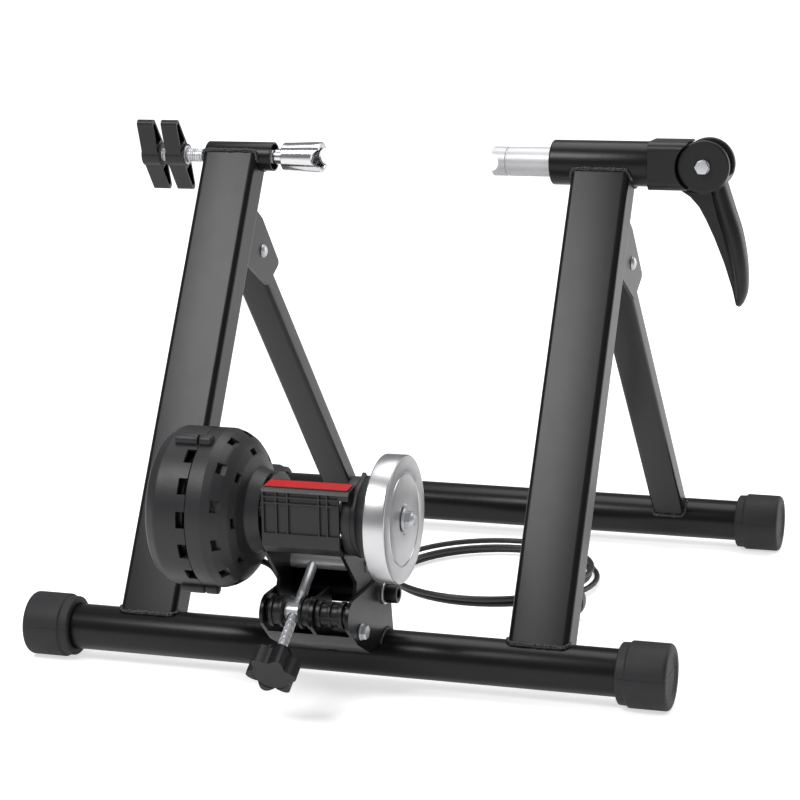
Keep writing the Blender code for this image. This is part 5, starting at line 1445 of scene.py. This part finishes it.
roof_side = [
    (FRONT_Y, SPIN.z + 0.0195, 0.0004),
    *shell_side[1:7],
    (FRONT_Y + GUARD_WALL, SPIN.z + 0.0195, 0.0004),
]
stock = side_slab(rounded(shell_side, steps=4), HOUSING[0], FACE_RIGHT)
roof = side_slab(rounded(roof_side, steps=4), FACE_RIGHT - 0.001, HOUSING[1])
cells = []
for x_low, x_high in CELL_X:
    for z_low, z_high in CELL_Z:
        low = (x_low, FRONT_Y - 0.002, SPIN.z + z_low)
        cells.append(block(low, (x_high, FRONT_Y + CELL_DEPTH, SPIN.z + z_high)))
left_end, left_inside = SPIN + X * HOUSING[0], SPIN + X * (HOUSING[0] + GUARD_WALL)
right_inside, right_end = SPIN + X * (CHEEKS[1][1] + GAP), SPIN + X * HOUSING[1]
left_ring = ring(RIM_R, RIM_BORE_R, left_end, left_inside, 0.0003, 120)
right_ring = ring(RIM_R, RIM_BORE_R, right_inside, right_end, 0.0003, 120)
guard = worked(stock, joined=(roof, left_ring, right_ring), cut=cells)
piece("roller_guard", shaded(guard, 30), shell, "unit", "roller_housing")
red = surface("red_strip", "red_plastic", (0.55, 0.008, 0.011), 0, 0.4, 900, 0.0001, 0.3)
TOP_SLOPE = 0.0020 / 0.0190
strip_side = []
for y, lift in ((0.0035, GAP), (0.0165, GAP), (0.0165, 0.0012), (0.0035, 0.0012)):
    roof_z = SPIN.z + 0.0265 + (y - 0.0025) * TOP_SLOPE
    strip_side.append((FRONT_Y + y, roof_z + lift))
strip = worked(side_slab(strip_side, HOUSING[0] + 0.0022, HOUSING[1] - 0.0015), edge=0.0002)
piece("top_strip", strip, red, "unit", "housing_red_strip")
low, high = (SPIN + X * (HOUSING[1] + x) for x in (GAP, 0.0045))
end_ring = ring(0.032, 0.008, low, high, 0.0006, 120)
tab_side = [
    (SPIN.y - 0.010, SPIN.z + 0.029),
    (SPIN.y + 0.004, SPIN.z + 0.029),
    (SPIN.y - 0.001, SPIN.z + 0.0355),
]
tab = side_slab(tab_side, HOUSING[1] + 0.0009, HOUSING[1] + 0.0039)
piece("wheel_side_ring", worked(end_ring, joined=(tab,)), plastic, "unit", "housing_flange")

# Cable entry: a ribbed rubber boot pushed into the inner cover, and on the cable's end a
# knurled steel barrel adjuster that is turned by hand to set the cable's slack.
BOOT_R = 0.0054
BOOT_GROOVE = 0.0008
BOOT_PITCH = 0.002
BOOT_LENGTH = 0.0080
KNURL_R = 0.0039
KNURL_DEPTH = 0.0003
KNURL_LENGTH = 0.0077
boot_line = [(0, 0), (BOOT_R, 0)]
for k in range(4):
    crest, rise = BOOT_R - 0.0002 * k, BOOT_PITCH * k
    groove = crest - BOOT_GROOVE
    boot_line += [(crest, 0.0014 + rise), (groove, 0.0018 + rise), (groove, 0.0026 + rise)]
boot_line = [(r, min(h, BOOT_LENGTH)) for r, h in boot_line] + [(0, BOOT_LENGTH + 0.0002)]
boot = turned(boot_line, CABLE_EXIT - CABLE_HEADING * 0.0165, CABLE_HEADING, 48)
piece("cable_boot", shaded(boot, 40), rubber, "unit", "cable_sleeve")
knurl = []
for i in range(96):
    turn = 2 * math.pi * i / 96
    r = KNURL_R - (KNURL_DEPTH if i % 4 > 1 else 0)
    knurl.append((r * math.cos(turn), r * math.sin(turn)))
barrel = slab(knurl, axes(CABLE_EXIT - CABLE_HEADING * 0.00415, CABLE_HEADING), KNURL_LENGTH)
piece("adjuster_barrel", shaded(barrel, 20), zinc, "unit", "barrel_adjuster")

# Tension screw: a silver cross bar in the arm, a threaded steel rod, and a six-lobed
# black knob. Turning the knob swings the unit's roller against the tyre.
SPINDLE_X = -0.009
SPINDLE_R = 0.004
SPINDLE_PITCH = 0.001
KNOB_R = 0.0207
KNOB_THICK = 0.016
LOBES = 6
LOBE_DEPTH = 0.0029
spindle_axis = Vector((0, BAR.y - NUT.y, BAR.z - NUT.z)).normalized()
bar_centre = BAR + X * SPINDLE_X
nut_centre = NUT + X * SPINDLE_X
spindle_end = bar_centre + spindle_axis * 0.0045
cross = bar(BAR, -0.0340, 0.0395, BAR_R, 0.0008, sides=72)
way_end = bar_centre - spindle_axis * 0.02
bar_way = rod(spindle_end + spindle_axis * GAP, way_end, SPINDLE_R + GAP)
cross = worked(cross, cut=(bar_way,), edge=0.0002, angle=50)
piece("cross_bar", cross, silver, "t_bar", "t_bar")
knob_top = nut_centre - spindle_axis * 0.040
rod_low = knob_top - spindle_axis * 0.019
plain = rod(nut_centre + spindle_axis * 0.018, spindle_end, SPINDLE_R, 0.0004)
rod_high = nut_centre + spindle_axis * 0.0185
screw = threaded(rod_low, rod_high, SPINDLE_R, SPINDLE_PITCH, zinc)
piece("tension_rod", shaded(together(plain, screw)), zinc, "tension_screw", "tension_screw")
lobes = []
for i in range(120):
    turn = 2 * math.pi * i / 120
    r = KNOB_R - LOBE_DEPTH * (1 - math.cos(LOBES * turn))
    lobes.append((r * math.cos(turn), r * math.sin(turn)))
knob_place = axes(knob_top - spindle_axis * 0.0175, spindle_axis, X)
hub_line = rounded([(0, 0), (0.0118, 0, 0.0002), (0.0095, 0.0125, 0.0008), (0, 0.0125)], steps=3)
hub = turned(hub_line, knob_top - spindle_axis * 0.0125, spindle_axis, 72)
dish_line = [(0, 0), (0.0150, 0), (0.0158, -0.0012), (0, -0.0012)]
knob_low = knob_top - spindle_axis * 0.0255
dish = turned(dish_line, knob_low + spindle_axis * 0.0006, spindle_axis)
way_low, way_high = knob_top - spindle_axis * 0.0195, knob_top + spindle_axis * 0.005
knob_way = rod(way_low, way_high, SPINDLE_R + GAP)
knob = worked(slab(lobes, knob_place, KNOB_THICK), cut=(dish,), edge=0.0016, rows=4, angle=50)
knob = worked(knob, joined=(hub,), cut=(knob_way,))
piece("lobed_knob", shaded(knob, 35), plastic, "tension_screw", "tension_knob")

# Barrel nut: a steel cross nut between two plastic bushes, and a spacer, held between the
# front ears of the bracket. The tension screw runs through it.
PIN_R = 0.0050
BUSH_BORE_R = 0.0053
BUSH_R = 0.0130
BUSH_WAIST_R = 0.0112
BUSH_NECK_R = 0.0090
SPACER_R = 0.0108
SPACER_WAIST_R = 0.0088
SPACER_NECK_R = 0.0080
RIB_HALF = 0.0009
RIB_OUT = 0.0104
RIB_X = (0.0106, 0.0325)
barrel_line = [
    (0, -0.0300),
    (PIN_R, -0.0300),
    (PIN_R, -0.0160),
    (0.0070, -0.0160),
    (0.0070, -0.0030),
    (PIN_R, -0.0030),
    (PIN_R, 0.0026),
    (0, 0.0026),
]
screw_way = rod(nut_centre - spindle_axis * 0.02, nut_centre + spindle_axis * 0.02, SPINDLE_R + 0.0008)
barrel = turned(rounded(barrel_line, 0.0005, 2), NUT, X, 72)
barrel = worked(barrel, cut=(screw_way,), edge=0.0002, angle=50)
piece("cross_nut", barrel, zinc, "fixed_frame", "barrel_nut")
left_bush = [
    (BUSH_BORE_R, -0.0307),
    (BUSH_NECK_R, -0.0307),
    (BUSH_NECK_R, -0.0270),
    (BUSH_R, -0.0270),
    (BUSH_R, -0.0245),
    (BUSH_WAIST_R, -0.0240),
    (BUSH_WAIST_R, -0.0192),
    (BUSH_R, -0.0187),
    (BUSH_R, -0.0163),
    (BUSH_BORE_R, -0.0163),
]
right_bush = [
    (BUSH_BORE_R, -0.0027),
    (BUSH_R, -0.0027),
    (BUSH_R, -0.0003),
    (BUSH_WAIST_R, 0.0002),
    (BUSH_WAIST_R, 0.0038),
    (BUSH_R, 0.0043),
    (BUSH_R, 0.0067),
    (BUSH_NECK_R, 0.0067),
    (BUSH_NECK_R, 0.0030),
    (BUSH_BORE_R, 0.0030),
]
for side, bush_line in (("left", left_bush), ("right", right_bush)):
    bush = turned(rounded(bush_line, 0.0004, 3), NUT, X)
    piece(f"{side}_bush", shaded(bush), plastic, "fixed_frame", f"{side}_nut_bush")
bush_disc = bar(NUT, 0.0033, 0.0058, 0.0075, 0.0005, sides=64)
piece("bush_cap", shaded(bush_disc), zinc, "fixed_frame", "nut_bush_disc")
spacer_line = [
    (0, 0.0103, 0),
    (SPACER_R, 0.0103),
    (SPACER_R, 0.0145),
    (SPACER_WAIST_R, 0.0150),
    (SPACER_WAIST_R, 0.0205),
    (RIB_OUT, 0.0210),
    (RIB_OUT, 0.0230),
    (SPACER_WAIST_R, 0.0235),
    (SPACER_WAIST_R, 0.0290),
    (SPACER_R, 0.0295),
    (SPACER_R, 0.0330),
    (SPACER_NECK_R, 0.0330),
    (SPACER_NECK_R, 0.0367),
    (0, 0.0367, 0),
]
ribs = []
for half_y, half_z in ((RIB_HALF, RIB_OUT), (RIB_OUT, RIB_HALF)):
    low = (RIB_X[0], NUT.y - half_y, NUT.z - half_z)
    ribs.append(block(low, (RIB_X[1], NUT.y + half_y, NUT.z + half_z)))
spacer = worked(turned(rounded(spacer_line, 0.0004, 2), NUT, X, 72), joined=ribs)
piece("ribbed_spacer", shaded(spacer, 40), plastic, "fixed_frame", "nut_spacer")

# Shifter: the resistance selector on the cable's end, with a round body, a thumb lever on
# a pin and a split band for a handlebar.
BAND_R = 0.0162
BAND_THICK = 0.0033
BAND_HALF = 0.006
CASE_R = 0.0150
CASE_LENGTH = 0.0123
THUMB_TURN = math.radians(130)
THUMB_DISC_R = 0.0125
THUMB_PIN_R = 0.0030
PADDLE = (
    (0.006, -0.0075),
    (0.026, -0.0045, 0.006),
    (0.033, -0.0025, 0.0016),
    (0.033, 0.0035, 0.0016),
    (0.026, 0.0055, 0.006),
    (0.006, 0.0075),
)
band_centre = SHIFTER + X * 0.016
near, far = band_centre - Y * BAND_HALF, band_centre + Y * BAND_HALF
band = ring(BAND_R, BAND_R - BAND_THICK, near, far, 0.0007, 96)
gap_low = band_centre + Vector((-0.0006, -0.01, 0.010))
split_gap = block(gap_low, band_centre + Vector((0.0006, 0.01, 0.02)))
piece("shifter_clamp", worked(band, cut=(split_gap,)), plastic, "fixed_frame", "shifter_band")
case_line = [(0, 0), (CASE_R, 0, 0.0012), (CASE_R, CASE_LENGTH, 0.0009), (0, CASE_LENGTH)]
case_x = SHIFTER.x - 0.013
thumb_x = (case_x - 0.0050, case_x - GAP)


def on_case(x):
    """A point on the axis of the shifter's case."""
    return Vector((x, SHIFTER.y, SHIFTER.z))


case = turned(rounded(case_line, steps=4), on_case(case_x), X, 96)
pin = rod(on_case(thumb_x[0] - 0.0010), on_case(case_x + 0.002), THUMB_PIN_R, 0.0004)
case = worked(case, joined=(pin,))
piece("shifter_case", shaded(case), plastic, "fixed_frame", "shifter_body")
along = Vector((0, math.cos(THUMB_TURN), math.sin(THUMB_TURN)))
across = Vector((0, -along.z, along.y))
paddle = [SHIFTER + along * u + across * v for u, v in rounded(PADDLE, steps=4)]
thumb = side_slab([(p.y, p.z) for p in paddle], *thumb_x)
thumb_disc = rod(on_case(thumb_x[0]), on_case(thumb_x[1]), THUMB_DISC_R, sides=72)
thumb_way = rod(on_case(thumb_x[0] - 0.01), on_case(thumb_x[1] + 0.01), THUMB_PIN_R + GAP)
thumb_lever = worked(thumb, joined=(thumb_disc,), cut=(thumb_way,), edge=0.0005, angle=50)
piece("thumb_lever", thumb_lever, plastic, "shifter_lever", "shifter_lever")

low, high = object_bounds()
list(low)
list(high)
